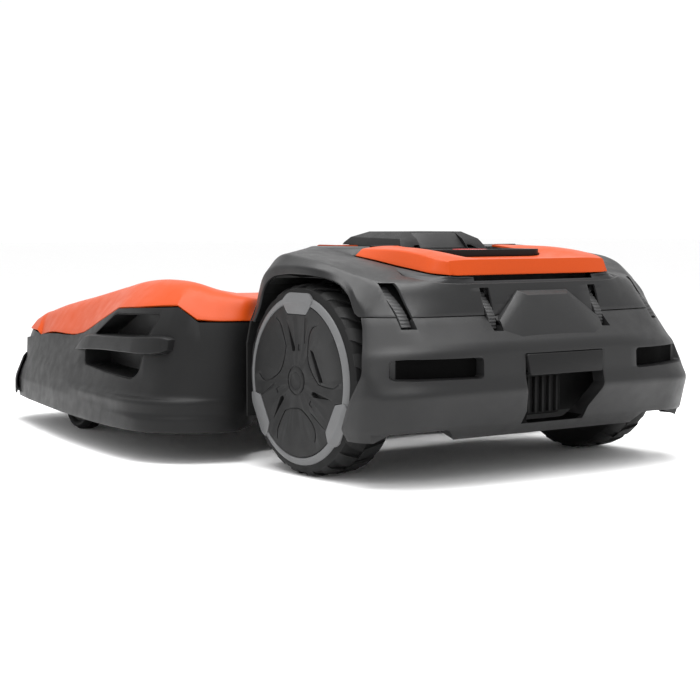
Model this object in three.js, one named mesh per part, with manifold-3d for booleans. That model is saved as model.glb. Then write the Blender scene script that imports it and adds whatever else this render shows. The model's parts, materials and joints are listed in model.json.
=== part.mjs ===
// Robotic lawn mower: a two-wheeled drive unit that pushes a hinged cutting deck on two casters.
// Millimetres, +X forward, +Y left, +Z up. The origin is on the ground, midway along, midway across.
import * as THREE from "three";
import { mergeVertices } from "three/addons/utils/BufferGeometryUtils.js";
import Module from "manifold-3d";

const wasm = await Module();
wasm.setup();

// ---- driving dimensions -------------------------------------------------------------------
const AXLE_X = -457;           // drive axle behind the origin
const WHEEL_R = 180;           // drive tyre radius, and the axle's height
const TYRE_IN = 286;           // tyre's inner side, from the centre plane
const TYRE_OUT = 390;          // tyre's outer side
const RING_R = 158.7;          // grey wheel ring, outer radius
const RING_BORE = 134;
const RING_FACE = 394;
const TAB_FACE = 399;          // three raised tabs on the ring
const TAB_INNER_R = 122;
const TAB_HALF = 36;
const SKIN = 5;                // wall of the moulded casings
const SEAM_Z = 304;            // joint line between upper body and bumper
const GAP = 0.4;               // clearance between touching pieces
const DECK_PIVOT = [305, 312]; // X, Z of the deck's lifting hinge
const HATCH_PIVOT = [47.2, 426]; // X, Z of the hatch's hinge
const DISC_Z = 66;             // cutting disc's lower face at the lowest setting
const DISC_R = 140;
const BLADES_PER_DISC = 3;
const DISC_PLACES = [[600, 322], [720, 0], [600, -322]];
const CASTER_R = 65;
const CASTER_X = 897;          // where a caster wheel meets the ground, trailing
const CASTER_Y = 366;
const CASTER_TRAIL = 28;
const WHEEL_SEGMENTS = 40;

const root = new THREE.Group();
const machine = new THREE.Group();
machine.position.x = AXLE_X;
root.add(machine);

// ---- materials ----------------------------------------------------------------------------
const material = (color, roughness, metalness) =>
  new THREE.MeshStandardMaterial({ color, roughness, metalness });
const charcoal = material(0x3b3b3d, 0.55, 0);
const softBlack = material(0x2a2a2b, 0.75, 0);
const orange = material(0xd9541e, 0.4, 0);
const tyreBlack = material(0x161616, 0.85, 0);
const ringGrey = material(0x77787a, 0.5, 0);
const coverGrey = material(0x2f2f31, 0.6, 0);
const steel = material(0xb8babd, 0.3, 0.9);
const aluminium = material(0x9a9da0, 0.4, 0.8);
const motorBlack = material(0x1c1d20, 0.5, 0.2);
const batteryGrey = material(0x4a4d52, 0.6, 0);
const boardGreen = material(0x2d5c45, 0.6, 0);
const red = material(0xb81f1a, 0.45, 0);
const keyGrey = material(0x8d8f92, 0.6, 0);

// ---- solid helpers ------------------------------------------------------------------------
function toSolid(geometry) {
  const bare = geometry.clone();
  bare.deleteAttribute("normal");
  bare.deleteAttribute("uv");
  const merged = mergeVertices(bare, 1e-4);
  const triVerts = new Uint32Array(merged.index.array);
  const vertProperties = new Float32Array(merged.attributes.position.array);
  return new wasm.Manifold(new wasm.Mesh({ numProp: 3, vertProperties, triVerts }));
}

function toGeometry(solid) {
  const mesh = solid.getMesh();
  const geometry = new THREE.BufferGeometry();
  geometry.setAttribute("position", new THREE.BufferAttribute(new Float32Array(mesh.vertProperties), 3));
  geometry.setIndex(new THREE.BufferAttribute(new Uint32Array(mesh.triVerts), 1));
  return geometry;
}

function cut(base, ...tools) {
  return tools.reduce((solid, tool) => solid.subtract(tool), base);
}

function join(...solids) {
  return solids.reduce((all, solid) => all.add(solid));
}

function add(name, solid, look, parent = machine) {
  const mesh = new THREE.Mesh(toGeometry(solid).toNonIndexed(), look);
  mesh.geometry.computeVertexNormals();
  mesh.name = name;
  parent.add(mesh);
}

// A box between two corners.
function box(low, high) {
  const size = high.map((value, i) => value - low[i]);
  const geometry = new THREE.BoxGeometry(...size);
  geometry.translate(...low.map((value, i) => value + size[i] / 2));
  return toSolid(geometry);
}

// A cylinder along "x", "y" or "z", from one end coordinate to the other, about a centre.
function rod(axis, centre, radius, from, to, segments = 24) {
  const geometry = new THREE.CylinderGeometry(radius, radius, to - from, segments);
  const mid = (from + to) / 2;
  if (axis === "x") geometry.rotateZ(Math.PI / 2).translate(mid, centre[0], centre[1]);
  if (axis === "y") geometry.translate(centre[0], mid, centre[1]);
  if (axis === "z") geometry.rotateX(Math.PI / 2).translate(centre[0], centre[1], mid);
  return toSolid(geometry);
}

// A solid of revolution about a line along Y through (x, z); the profile holds [radius, y] pairs.
function turnedY(profile, x, z, segments = WHEEL_SEGMENTS) {
  const area = profile.reduce((sum, p, i) => {
    const q = profile[(i + 1) % profile.length];
    return sum + p[0] * q[1] - q[0] * p[1];
  }, 0);
  const ordered = area < 0 ? [...profile].reverse() : profile;
  const onAxis = ordered.some((p) => p[0] === 0);
  const points = ordered.map((p) => new THREE.Vector2(p[0], p[1]));
  if (onAxis) {
    while (!(points[0].x === 0 && points[points.length - 1].x === 0)) points.push(points.shift());
  } else {
    points.push(points[0].clone());
  }
  const geometry = new THREE.LatheGeometry(points, segments);
  geometry.translate(x, 0, z);
  return toSolid(geometry);
}

// An outline in the XZ plane, swept along Y between two places.
function sweptY(outline, from, to) {
  const shape = new THREE.Shape(outline.map(([x, z]) => new THREE.Vector2(x, z)));
  const geometry = new THREE.ExtrudeGeometry(shape, { depth: to - from, bevelEnabled: false });
  geometry.rotateX(Math.PI / 2).translate(0, to, 0);
  return toSolid(geometry);
}

// An outline in the XY plane, swept up Z.
function sweptZ(outline, from, to) {
  const shape = new THREE.Shape(outline.map(([x, y]) => new THREE.Vector2(x, y)));
  const geometry = new THREE.ExtrudeGeometry(shape, { depth: to - from, bevelEnabled: false });
  geometry.translate(0, 0, from);
  return toSolid(geometry);
}

// An outline in the YZ plane, swept along X.
function sweptX(outline, from, to) {
  const shape = new THREE.Shape(outline.map(([y, z]) => new THREE.Vector2(y, z)));
  const geometry = new THREE.ExtrudeGeometry(shape, { depth: to - from, bevelEnabled: false });
  geometry.rotateX(Math.PI / 2).rotateZ(Math.PI / 2).translate(from, 0, 0);
  return toSolid(geometry);
}

const mirrored = (solid) => solid.mirror([0, 1, 0]);
const bothSides = (solid) => join(solid, mirrored(solid));

// A ring given from the rear centre round the left side to the front centre, made whole.
function wholeRing(half) {
  const right = half.filter(([, y]) => y > 0.001).map(([x, y, z]) => [x, -y, z]).reverse();
  return [...half, ...right];
}

// A half row given for the left side of an open band, made whole from right end to left end.
function wholeBand(half) {
  const right = half.filter(([, y]) => y > 0.001).map(([x, y, z]) => [x, -y, z]).reverse();
  return [...right, ...half];
}

function triangleMesh(points, faces) {
  const geometry = new THREE.BufferGeometry();
  geometry.setAttribute("position", new THREE.Float32BufferAttribute(points.flat(), 3));
  geometry.setIndex(faces.flat());
  return geometry;
}

// A solid between stacked rings of equal count, closed by flat caps.
function loft(rings) {
  const count = rings[0].length;
  const points = rings.flat();
  const faces = [];
  for (let r = 0; r + 1 < rings.length; r++) {
    for (let i = 0; i < count; i++) {
      const j = (i + 1) % count;
      const [a, b, c, d] = [r * count + i, r * count + j, (r + 1) * count + j, (r + 1) * count + i];
      faces.push([a, b, c], [a, c, d]);
    }
  }
  for (const start of [0, (rings.length - 1) * count]) {
    const ring = points.slice(start, start + count).map((p) => new THREE.Vector3(...p));
    const normal = new THREE.Vector3();
    ring.forEach((p, i) => normal.add(p.clone().cross(ring[(i + 1) % count])));
    const drop = ["x", "y", "z"].reduce((a, b) => (Math.abs(normal[a]) > Math.abs(normal[b]) ? a : b));
    const [u, v] = { x: ["y", "z"], y: ["x", "z"], z: ["x", "y"] }[drop];
    const flat = ring.map((p) => new THREE.Vector2(p[u], p[v]));
    for (const face of THREE.ShapeUtils.triangulateShape(flat, [])) {
      faces.push(face.map((corner) => corner + start));
    }
  }
  return orient(points, faces);
}

// Turns every face the same way round, outwards, by walking over shared edges.
function orient(points, faces) {
  const edges = new Map();
  faces.forEach((face, f) => face.forEach((a, i) => {
    const b = face[(i + 1) % 3];
    const key = a < b ? `${a}_${b}` : `${b}_${a}`;
    edges.set(key, [...(edges.get(key) ?? []), f]);
  }));
  const done = new Set([0]);
  const queue = [0];
  while (queue.length) {
    const f = queue.pop();
    faces[f].forEach((a, i) => {
      const b = faces[f][(i + 1) % 3];
      for (const g of edges.get(a < b ? `${a}_${b}` : `${b}_${a}`)) {
        if (done.has(g)) continue;
        const sameWay = faces[g].some((c, k) => c === a && faces[g][(k + 1) % 3] === b);
        if (sameWay) faces[g].reverse();
        done.add(g);
        queue.push(g);
      }
    });
  }
  const volume = faces.reduce((sum, [a, b, c]) => {
    const [p, q, r] = [a, b, c].map((v) => new THREE.Vector3(...points[v]));
    return sum + p.dot(q.cross(r));
  }, 0);
  if (volume < 0) faces.forEach((face) => face.reverse());
  return toSolid(triangleMesh(points, faces));
}

// A wall of even thickness behind a grid of rows; closed rows run right round, open rows do not.
function shell(rows, thickness, closed) {
  const count = rows[0].length;
  const at = (r, i) => new THREE.Vector3(...rows[r][(i + count) % count]);
  const outer = rows.flat();
  const inner = [];
  rows.forEach((row, r) => row.forEach((p, i) => {
    const next = closed ? i + 1 : Math.min(i + 1, count - 1);
    const last = closed ? i - 1 : Math.max(i - 1, 0);
    const along = at(r, next).sub(at(r, last));
    const up = at(Math.min(r + 1, rows.length - 1), i).sub(at(Math.max(r - 1, 0), i));
    const inward = up.cross(along).normalize();
    const depth = typeof thickness === "function" ? thickness(p, r) : thickness;
    inner.push([p[0] + inward.x * depth, p[1] + inward.y * depth, p[2] + inward.z * depth]);
  }));
  const points = [...outer, ...inner];
  const faces = [];
  const quad = (a, b, c, d) => faces.push([a, b, c], [a, c, d]);
  const spans = closed ? count : count - 1;
  for (let r = 0; r + 1 < rows.length; r++) {
    for (let i = 0; i < spans; i++) {
      const j = (i + 1) % count;
      for (const start of [0, outer.length]) {
        quad(start + r * count + i, start + r * count + j, start + (r + 1) * count + j,
          start + (r + 1) * count + i);
      }
    }
  }
  for (const r of [0, rows.length - 1]) {
    for (let i = 0; i < spans; i++) {
      const j = (i + 1) % count;
      quad(r * count + i, r * count + j, outer.length + r * count + j, outer.length + r * count + i);
    }
  }
  if (!closed) {
    for (const i of [0, count - 1]) {
      for (let r = 0; r + 1 < rows.length; r++) {
        const [a, b] = [r * count + i, (r + 1) * count + i];
        quad(a, b, outer.length + b, outer.length + a);
      }
    }
  }
  return orient(points, faces);
}

// ---- wheels -------------------------------------------------------------------------------
const TYRE_PROFILE = [
  [128, TYRE_IN + 6], [150, TYRE_IN], [171, TYRE_IN + 3], [WHEEL_R, TYRE_IN + 14],
  [WHEEL_R, TYRE_OUT - 14], [176, TYRE_OUT - 5], [168, TYRE_OUT], [RING_R + GAP, TYRE_OUT - 1],
  [RING_R + GAP, TYRE_OUT - 10.5], [128, TYRE_OUT - 10.5],
];
const RIM_PROFILE = [
  [0, 300], [56, 300], [56, 292], [127.6, 292], [127.6, 379], [118, 379], [108, 345], [0, 345],
];
const RING_PROFILE = [
  [RING_BORE, TYRE_OUT - 10], [RING_R, TYRE_OUT - 10], [RING_R, TYRE_OUT], [145.6, RING_FACE],
  [RING_BORE, RING_FACE],
];
const COVER_PROFILE = [
  [0, 379.5], [RING_BORE - GAP, 379.5], [RING_BORE - GAP, 393], [104, 396], [30, 393], [26, 398.5],
  [0, 398.5],
];

// One raised tab of the ring, on its outside, swollen on every side by a margin.
function ringTab(margin) {
  const [inner, outer] = [TAB_INNER_R - margin, 162 + margin];
  const half = TAB_HALF + margin;
  const outline = [
    [-half * 0.72, inner], [half * 0.72, inner], [half, 140], [half * 0.9, 156], [half * 0.62, outer],
    [-half * 0.62, outer], [-half * 0.9, 156], [-half, 140],
  ];
  return sweptY(outline, 390.5, TAB_FACE + margin).translate([0, 0, WHEEL_R]);
}

function aroundAxle(solid, degrees) {
  return solid.translate([0, 0, -WHEEL_R]).rotate([0, degrees, 0]).translate([0, 0, WHEEL_R]);
}

const threeTabs = (margin) => join(...[0, 120, 240].map((turn) => aroundAxle(ringTab(margin), turn)));

// The wheel cover: three petals between sunk spokes.
function wheelCover() {
  const disc = turnedY(COVER_PROFILE, 0, WHEEL_R);
  const slit = sweptY([[12, 46], [17, 46], [34, 104], [26, 108]], 391, 400).translate([0, 0, WHEEL_R]);
  const slits = [0, 120, 240].flatMap((turn) => [
    aroundAxle(slit, turn), aroundAxle(slit.mirror([1, 0, 0]), turn),
  ]);
  return cut(disc, threeTabs(GAP), ...slits);
}

function addWheel(side, place) {
  add(`${side}_tyre`, place(turnedY(TYRE_PROFILE, 0, WHEEL_R)), tyreBlack);
  add(`${side}_wheel_rim`, place(turnedY(RIM_PROFILE, 0, WHEEL_R)), motorBlack);
  add(`${side}_wheel_ring`, place(join(turnedY(RING_PROFILE, 0, WHEEL_R), threeTabs(0))), ringGrey);
  add(`${side}_wheel_cover`, place(wheelCover()), coverGrey);
  const motor = join(rod("y", [0, WHEEL_R], 52, 226, 291), rod("y", [0, WHEEL_R], 14, 291, 299.6));
  add(`${side}_wheel_motor`, place(motor), motorBlack);
}

// ---- wheel house --------------------------------------------------------------------------
const ARCH_EDGE = [
  [152, 283], [132, 310], [121, 336], [109, 354], [86, 369], [45, 376], [0, 377.5], [-48, 376],
  [-94, 371], [-135, 361], [-157, 342], [-174, 319], [-192, 286], [-203, 248], [-209, 217],
];
const HOUSE = [
  [190, 60], [190, 240], [176, 283], [150, 318], [134, 342], [116, 360], [90, 373],
  ...ARCH_EDGE.slice(5), [-209, 60],
];

// The wheel-house outline drawn in by a margin towards the axle.
function houseInset(margin) {
  return HOUSE.map(([x, z]) => {
    const reach = Math.hypot(x, z - WHEEL_R);
    const scale = (reach - margin) / reach;
    return z < 100 ? [x * scale, z] : [x * scale, WHEEL_R + (z - WHEEL_R) * scale];
  });
}

function wheelLiner() {
  const outer = sweptY(houseInset(1), 257, 386);
  const inner = sweptY(houseInset(6), 262, 400);
  const below = box([-260, 200, 40], [260, 420, 96]);
  return cut(outer, inner, below, rod("y", [0, WHEEL_R], 60, 240, 280));
}

// ---- drive unit casing --------------------------------------------------------------------
// Rows run from the rear centre, round the left side, to the front centre.
const BODY_LOWER = [
  [-247, 0, SEAM_Z], [-246, 124, SEAM_Z], [-237, 225, SEAM_Z], [-222, 312, SEAM_Z],
  [-208, 358, SEAM_Z], [-196, 388, SEAM_Z], [-183, 391, SEAM_Z], [-157, 392, 342], [-135, 392, 361],
  [-94, 392, 371], [-48, 393, 376], [0, 393, 377.5], [45, 393, 376], [86, 393, 369],
  [109, 393, 354], [121, 393, 336], [134, 392, 310], [154, 391, 283], [184, 376, 283],
  [206, 328, 283], [243, 222, 283], [266, 110, 283], [270, 0, 283],
];
const BODY_CREASE = [
  [-240, 0, 333], [-238, 124, 333], [-226, 222, 333], [-204, 300, 333], [-192, 348, 331],
  [-190, 386, 317], [-181, 391, 334], [-163, 391, 355], [-138, 391, 373],
  [-102, 392, 383.5], [-58, 393, 388.5], [-10, 393.5, 391.5], [40, 393.5, 391.5], [84, 392, 388],
  [110, 389, 380], [128, 386, 368], [148, 381, 343], [168, 374, 315], [186, 364, 310],
  [206, 325, 320], [243, 220, 325], [267, 110, 325], [272, 0, 325],
];
const BODY_SHOULDER = [
  [-234, 0, 352], [-231, 122, 352], [-219, 216, 352], [-192, 282, 358], [-176, 322, 364],
  [-160, 350, 368], [-146, 360, 374], [-128, 362, 380], [-102, 362, 388],
  [-68, 360, 396], [-30, 358, 403], [8, 356, 409], [42, 354, 413], [76, 352, 415],
  [102, 350, 409], [122, 348, 400], [142, 345, 388], [160, 340, 375], [178, 328, 372],
  [203, 300, 385], [240, 215, 392], [264, 110, 394], [269, 0, 394],
];
const BODY_TOP = [
  [-230, 0, 363], [-227, 120, 363], [-214, 210, 364], [-196, 243, 368], [-166, 249, 372],
  [-130, 249, 377], [-108, 244, 386], [-88, 236, 391], [-60, 235, 395],
  [-25, 235, 400], [10, 235, 404.5], [44, 235, 409], [70, 245, 417], [100, 262, 424],
  [124, 270, 425.5], [142, 262, 426], [158, 248, 426.5], [175, 225, 426.5], [195, 205, 426],
  [215, 185, 425], [240, 150, 424], [252, 80, 424], [255, 0, 424],
];
const LEDGE_STATIONS = 11;     // stations of the top row that run beside the hatch

// The sunk ledge beside the hatch, then the drop at its inner edge.
function hatchWell(inset, drop) {
  return BODY_TOP.map(([x, y, z], i) => {
    if (i < LEDGE_STATIONS) return [x + 12 + inset, y === 0 ? 0 : y - 9 - inset, z - 6 - drop];
    const across = 1 - (i - LEDGE_STATIONS) / (BODY_TOP.length - 1 - LEDGE_STATIONS);
    const edgeY = Math.max(0, 228 * across - inset * Math.sign(across));
    return [47 + inset, edgeY, Math.min(424, 404 + (228 - edgeY) * 0.6) - drop];
  });
}

function bodyRows() {
  return [hatchWell(1, 16), hatchWell(0, 0), BODY_TOP, BODY_SHOULDER, BODY_CREASE, BODY_LOWER];
}

// The two slots on each side of the rear face, and the pads that bridge them.
const SLOTS = [
  { name: "inner", foot: [-267, 136, 276], head: [-232, 136, 354], half: 10.5 },
  { name: "outer", foot: [-235, 318, 283], head: [-170, 306, 364], half: 12 },
];

// A slanted bar from a slot's foot to its head, set in or out along X.
function slotBar({ foot, head, half }, back, front, slim = 0, ends = 0) {
  const reach = (point, x, dz) => [
    [point[0] + x, point[1] - half + slim, point[2] + dz],
    [point[0] + x, point[1] + half - slim, point[2] + dz],
  ];
  const lower = [...reach(foot, back, ends), ...reach(foot, front, ends).reverse()];
  const upper = [...reach(head, back, -ends), ...reach(head, front, -ends).reverse()];
  return loft([lower, upper]);
}

function slotCuts() {
  return bothSides(join(...SLOTS.map((slot) => slotBar(slot, -60, 22))));
}

const bossOutline = (grow) => [
  [-124 - grow, 296 - grow], [-62 - grow, 347 + grow], [62 + grow, 347 + grow], [124 + grow, 296 - grow],
];

function upperBody() {
  const rows = bodyRows().map(wholeRing);
  const skin = shell(rows, SKIN, true);
  const frontLeg = cut(skin, bothSides(sweptY(HOUSE, 250, 389)));
  const bossRoom = sweptX(bossOutline(GAP), -300, -238);
  const belowSeam = box([-260, -420, 280], [-184, 420, SEAM_Z - 0.1]);
  const knuckleRoom = box([43, 132, 420], [51, 188, 432]);
  const lugs = [132, 181].map((y) => join(
    box([46, y, 417], [53, y + 7, 426]),
    rod("y", HATCH_PIVOT, 2.7, y, y + 7, 12),
  ));
  const pin = rod("y", HATCH_PIVOT, 1.4, 133, 187, 10);
  const casing = cut(frontLeg, bossRoom, slotCuts(), belowSeam, bothSides(knuckleRoom));
  return join(casing, bothSides(join(...lugs, pin)));
}

// ---- rear bumper --------------------------------------------------------------------------
// Rows run from the rear centre round the left corner to the wheel.
const BUMPER_ROWS = [
  [[-247, 0, 303.4], [-246, 124, 303.4], [-237, 225, 303.4], [-222, 312, 303.4], [-208, 358, 303.4],
    [-196, 388, 303.4], [-184, 391, 303.4]],
  [[-298, 0, 257], [-294, 130, 257], [-281, 235, 256], [-254, 316, 254], [-232, 360, 252],
    [-210, 389, 250], [-204, 393, 250]],
  [[-303, 0, 244], [-300, 130, 244], [-289, 240, 242], [-262, 325, 240], [-238, 370, 238],
    [-214, 391, 236], [-208, 395, 236]],
  [[-310, 0, 193], [-307, 130, 193], [-298, 245, 193], [-272, 344, 192], [-246, 382, 192],
    [-226, 397, 200], [-208, 402, 205]],
  [[-312, 0, 168], [-309, 130, 168], [-300, 250, 168], [-277, 354, 168], [-250, 386, 167],
    [-222, 401, 168], [-172, 404, 150]],
  [[-282, 0, 106], [-281, 130, 106], [-276, 250, 106], [-261, 349, 105], [-236, 384, 104],
    [-208, 400, 104], [-152, 404, 104]],
  [[-272, 0, 82], [-271, 130, 82], [-268, 250, 82], [-254, 345, 84], [-230, 380, 84],
    [-206, 398, 84], [-170, 403, 84]],
];

const WALL_AT_SIDE = 7;
const WALL_AT_REAR = 30;

function bumperWall([, y]) {
  const blend = Math.min(1, Math.max(0, (Math.abs(y) - 340) / 40));
  return WALL_AT_REAR + (WALL_AT_SIDE - WALL_AT_REAR) * blend;
}

// The bay over the charging contacts, widest at the crease.
const BAY = [[-66, 103], [66, 103], [98, 168], [98, 236], [-98, 236], [-98, 168]];

// A finger recess that runs round the corner and opens to the side.
function gripCut() {
  const path = [
    [[-330, 189], [-278, 189]], [[-330, 260], [-270, 260]], [[-300, 350], [-244, 318]],
    [[-262, 402], [-222, 356]], [[-236, 420], [-216, 384]],
  ];
  const rings = path.map(([[xo, yo], [xi, yi]]) => [
    [xo, yo, 192], [xi, yi, 200], [xi, yi, 232], [xo, yo, 236],
  ]);
  return loft(rings);
}

function rearBumper() {
  const block = shell(BUMPER_ROWS.map(wholeBand), bumperWall, false);
  const boss = loft([
    bossOutline(0).map(([y, z]) => [-240.5, y, z]),
    [[-262, -96, 290], [-252, -50, 340], [-252, 50, 340], [-262, 96, 290]],
  ]);
  const bossFoot = loft([
    [[-242, -124, 303], [-242, 124, 303], [-240, 90, 262], [-240, -90, 262]],
    [[-268, -98, 290], [-268, 98, 290], [-294, 84, 262], [-294, -84, 262]],
  ]);
  const underCorner = bothSides(sweptX([[400, 40], [400, 74], [330, 104], [235, 104], [180, 82], [180, 40]],
    -330, -228));
  const house = bothSides(sweptY(HOUSE, 200, 393));
  const front = box([-204, -256, 60], [0, 256, 320]);
  const bay = sweptX(BAY, -330, -200);
  const solid = join(block, boss.intersect(box([-300, -130, SEAM_Z - 8], [-230, 130, 360])), bossFoot);
  return cut(solid, bay, bothSides(gripCut()), underCorner, house, front, slotCuts());
}

// ---- covers on the drive unit -------------------------------------------------------------
const FRONT_COVER_LOW = [189, -214, 400];
const FRONT_COVER_HIGH = [262, 214, 440];
const STOP_PLACE = [-30, 0];
const CONSOLE_PLATE = [[64, 112], [40, 122], [-96, 122], [-114, 104]];
const consoleOutline = (grow) => [
  ...CONSOLE_PLATE.map(([x, y]) => [x < 0 ? x - grow : x + grow, y + grow]),
  ...CONSOLE_PLATE.map(([x, y]) => [x < 0 ? x - grow : x + grow, -y - grow]).reverse(),
];

// Height of the hatch at a place on its edge crease and across its dished middle.
const hatchLobe = (x) => 428 - 23 * Math.max(0, (-x - 10) / 175) ** 2;
const hatchMiddle = (x) => Math.min(hatchLobe(x), 412 + 0.04 * x + (x > -90 ? (x + 90) * 0.1 : 0));

function hatchRows() {
  const stations = [[44, 226, 409.5], [-20, 226, 402], [-87, 226, 393], [-140, 225, 386.5],
    [-178, 222, 381.5], [-203, 204, 378]];
  const rows = stations.map(([x, edge, low]) => [
    [x, 0, hatchMiddle(x)], [x, 105, hatchMiddle(x)], [x, (edge + 105) / 2, hatchLobe(x) - 2],
    [x, edge - 16, hatchLobe(x) - 7], [x, edge, low],
  ]);
  const crease = [[-192, 0, 403], [-191, 98, 403], [-189, 155, 403], [-187, 196, 402], [-207, 199, 378]];
  rows[5] = crease;
  rows.push([[-214, 0, 377], [-213.5, 98, 377], [-213, 150, 377], [-211, 186, 377], [-209, 193, 377.5]]);
  return rows;
}

function hatchCover() {
  const skin = shell(hatchRows().map(wholeBand), 4, false);
  const consoleRoom = sweptZ(consoleOutline(1.5), 380, 470);
  const knuckle = join(rod("y", HATCH_PIVOT, 2.8, 139.5, 180.5, 12), box([41, 140, 422.4], [46.6, 180, 425]));
  const bore = rod("y", HATCH_PIVOT, 1.8, 130, 190, 10);
  return cut(join(cut(skin, consoleRoom), bothSides(knuckle)), bothSides(bore));
}

function consoleHousing() {
  const plate = cut(
    sweptZ(consoleOutline(0), 410, 421),
    box([-92, -98, 412.4], [30, 98, 430]),
  );
  const hump = join(
    loft([
      [[53, -109, 427.4], [262, -98, 427.4], [262, 98, 427.4], [53, 109, 427.4]],
      [[66, -101, 441], [240, -92, 443], [240, 92, 443], [66, 101, 441]],
      [[88, -76, 454.5], [205, -70, 454.5], [205, 70, 454.5], [88, 76, 454.5]],
    ]),
    loft([
      [[41, -111, 414], [237.5, -104, 414], [237.5, 104, 414], [41, 111, 414]],
      [[53, -109, 427.6], [237.5, -98, 427.6], [237.5, 98, 427.6], [53, 109, 427.6]],
    ]),
  );
  const panelRoom = loft([
    [[40, -60, 418], [60, -60, 418], [60, 60, 418], [40, 60, 418]],
    [[80, -57, 458], [100, -57, 458], [100, 57, 458], [80, 57, 458]],
  ]);
  const inside = box([96, -62, 420], [215, 62, 447]);
  const cableHole = rod("z", [150, 0], 14, 405, 422, 16);
  const stopHole = rod("z", STOP_PLACE, 19, 400, 416, 24);
  const skirtSides = bothSides(box([-100, 106, 384.4], [28, 112, 411]));
  const skirt = join(skirtSides, box([-100, -110, 384.4], [-94, 110, 411]));
  return cut(join(plate, hump, skirt), panelRoom, inside, cableHole, stopHole);
}

function consolePanel() {
  return loft([
    [[50.6, -59, 421.6], [59.2, -59, 421.6], [59.2, 59, 421.6], [50.6, 59, 421.6]],
    [[80, -56.4, 452], [88, -56.4, 452], [88, 56.4, 452], [80, 56.4, 452]],
  ]);
}

// A capped plunger; the cap stands clear of its plate by its travel.
function pushButton(place, capR, stemR, capLow, top, foot) {
  return join(rod("z", place, capR, capLow, top, 28), rod("z", place, stemR, foot, capLow + 1, 20));
}

const KEY_PLACES = { power: [-140, 45], confirm: [-140, -45] };

// The sealed lid over the frame, raised in the middle to carry the keys and the console.
function innerLid() {
  const flange = box([-202, -251, 262.4], [235, 251, 268]);
  const tower = box([-165, -185, 264], [34, 185, 384]);
  const hollow = box([-159, -179, 255], [28, 179, 378]);
  const keyBores = Object.values(KEY_PLACES).map((place) => rod("z", place, 7.6, 370, 390, 20));
  return cut(join(flange, tower), hollow, ...keyBores);
}

// ---- drive unit frame and inner parts -----------------------------------------------------
function chassisTub() {
  const outer = sweptY([[-203, 112], [-185, 92], [215, 92], [236, 130], [236, 262], [-203, 262]], -252, 252);
  const inner = sweptY([[-196, 116], [-181, 99], [211, 99], [229, 134], [229, 300], [-196, 300]], -244, 244);
  const motorHoles = rod("y", [0, WHEEL_R], 53, -260, 260);
  return cut(outer, inner, motorHoles);
}

function hingeBracket() {
  const plate = box([236.5, -200, 150], [244, 200, 262]);
  const ear = sweptY([[243, 160], [243, 258], [281, 270], [292, 300], [292, 325], [318, 325], [318, 298],
    [300, 250], [262, 190]], 150, 164);
  const pin = rod("y", DECK_PIVOT, 7, 163, 188, 16);
  return join(plate, bothSides(join(ear, pin)));
}

function chargingSocket() {
  const block = box([-236, -52, 112], [-203.4, 52, 190]);
  const ribs = [-36, -18, 0, 18, 36].map((y) => box([-244, y - 3, 116], [-235, y + 3, 186]));
  return join(block, ...ribs);
}

function bumperPlate() {
  return loft([
    [[-307.5, -97, 234.5], [-307.5, 97, 234.5], [-299, 97, 234.5], [-299, -97, 234.5]],
    [[-311, -90, 195], [-311, 90, 195], [-301, 90, 195], [-301, -90, 195]],
  ]);
}

function strap(slot) {
  const { foot, head, half } = slot;
  const width = half - 1.5;
  const steps = 5;
  const rings = [];
  for (let i = 0; i <= steps; i++) {
    const t = i / steps;
    const bow = Math.sin(t * Math.PI) * 5;
    const x = foot[0] + (head[0] - foot[0]) * t + 9 - bow;
    const y = foot[1] + (head[1] - foot[1]) * t;
    const z = foot[2] + 4 + (head[2] - foot[2] - 14) * t;
    rings.push([[x, y - width, z], [x, y + width, z], [x + 9, y + width, z + 2], [x + 9, y - width, z + 2]]);
  }
  return loft(rings);
}

// ---- cutting deck -------------------------------------------------------------------------
// Rows run from the rear centre round the left side to the front centre.
const DECK_HEM = [
  [322, 0, 66], [322, 240, 66], [300, 292, 66], [262, 322, 66], [228, 350, 64], [217, 392, 62],
  [226, 440, 62], [248, 490, 62], [290, 530, 62], [352, 550, 62], [479, 545, 62], [600, 530, 62],
  [720, 511, 62], [890, 477, 62], [1056, 442, 62], [1130, 424, 62], [1168, 404, 64], [1196, 350, 66],
  [1208, 230, 66], [1214, 100, 66], [1215, 0, 66],
];
const DECK_LOWER = [
  [321, 0, 105], [321, 240, 105], [299, 291, 105], [261, 321, 105], [229, 350, 105], [219, 392, 105],
  [228, 438, 105], [250, 487, 105], [292, 526, 105], [354, 546, 105], [480, 541, 105], [600, 527, 105],
  [720, 508, 105], [890, 475, 105], [1058, 440, 104], [1140, 420, 104], [1180, 402, 103],
  [1206, 350, 103], [1218, 230, 103], [1224, 100, 103], [1225, 0, 103],
];
const DECK_MIDDLE = [
  [320, 0, 150], [320, 240, 150], [298, 290, 150], [260, 320, 150], [230, 350, 150], [222, 390, 150],
  [232, 432, 150], [258, 476, 150], [304, 510, 150], [362, 520, 150], [480, 524, 150], [600, 512, 150],
  [720, 496, 150], [890, 466, 150], [1040, 432, 150], [1104, 414, 150], [1142, 398, 150],
  [1168, 348, 150], [1180, 230, 150], [1186, 100, 150], [1187, 0, 150],
];
const DECK_EDGE = [
  [318, 0, 272], [318, 240, 272], [296, 288, 272], [258, 316, 273], [228, 342, 274], [222, 372, 276],
  [230, 410, 277], [262, 448, 277], [300, 470, 306], [365, 496, 303], [430, 500, 300], [500, 495, 296],
  [600, 484, 265], [700, 471, 235], [930, 436, 217], [1030, 413, 207], [1100, 400, 200],
  [1136, 345, 196], [1150, 225, 196], [1157, 100, 196], [1158, 0, 196],
];
const DECK_WALL = 6;
const HANDLE_POCKET = [[652, 208], [604, 243], [512, 288], [335, 292], [362, 243], [388, 208], [398, 165],
  [424, 153], [640, 172]];

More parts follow.
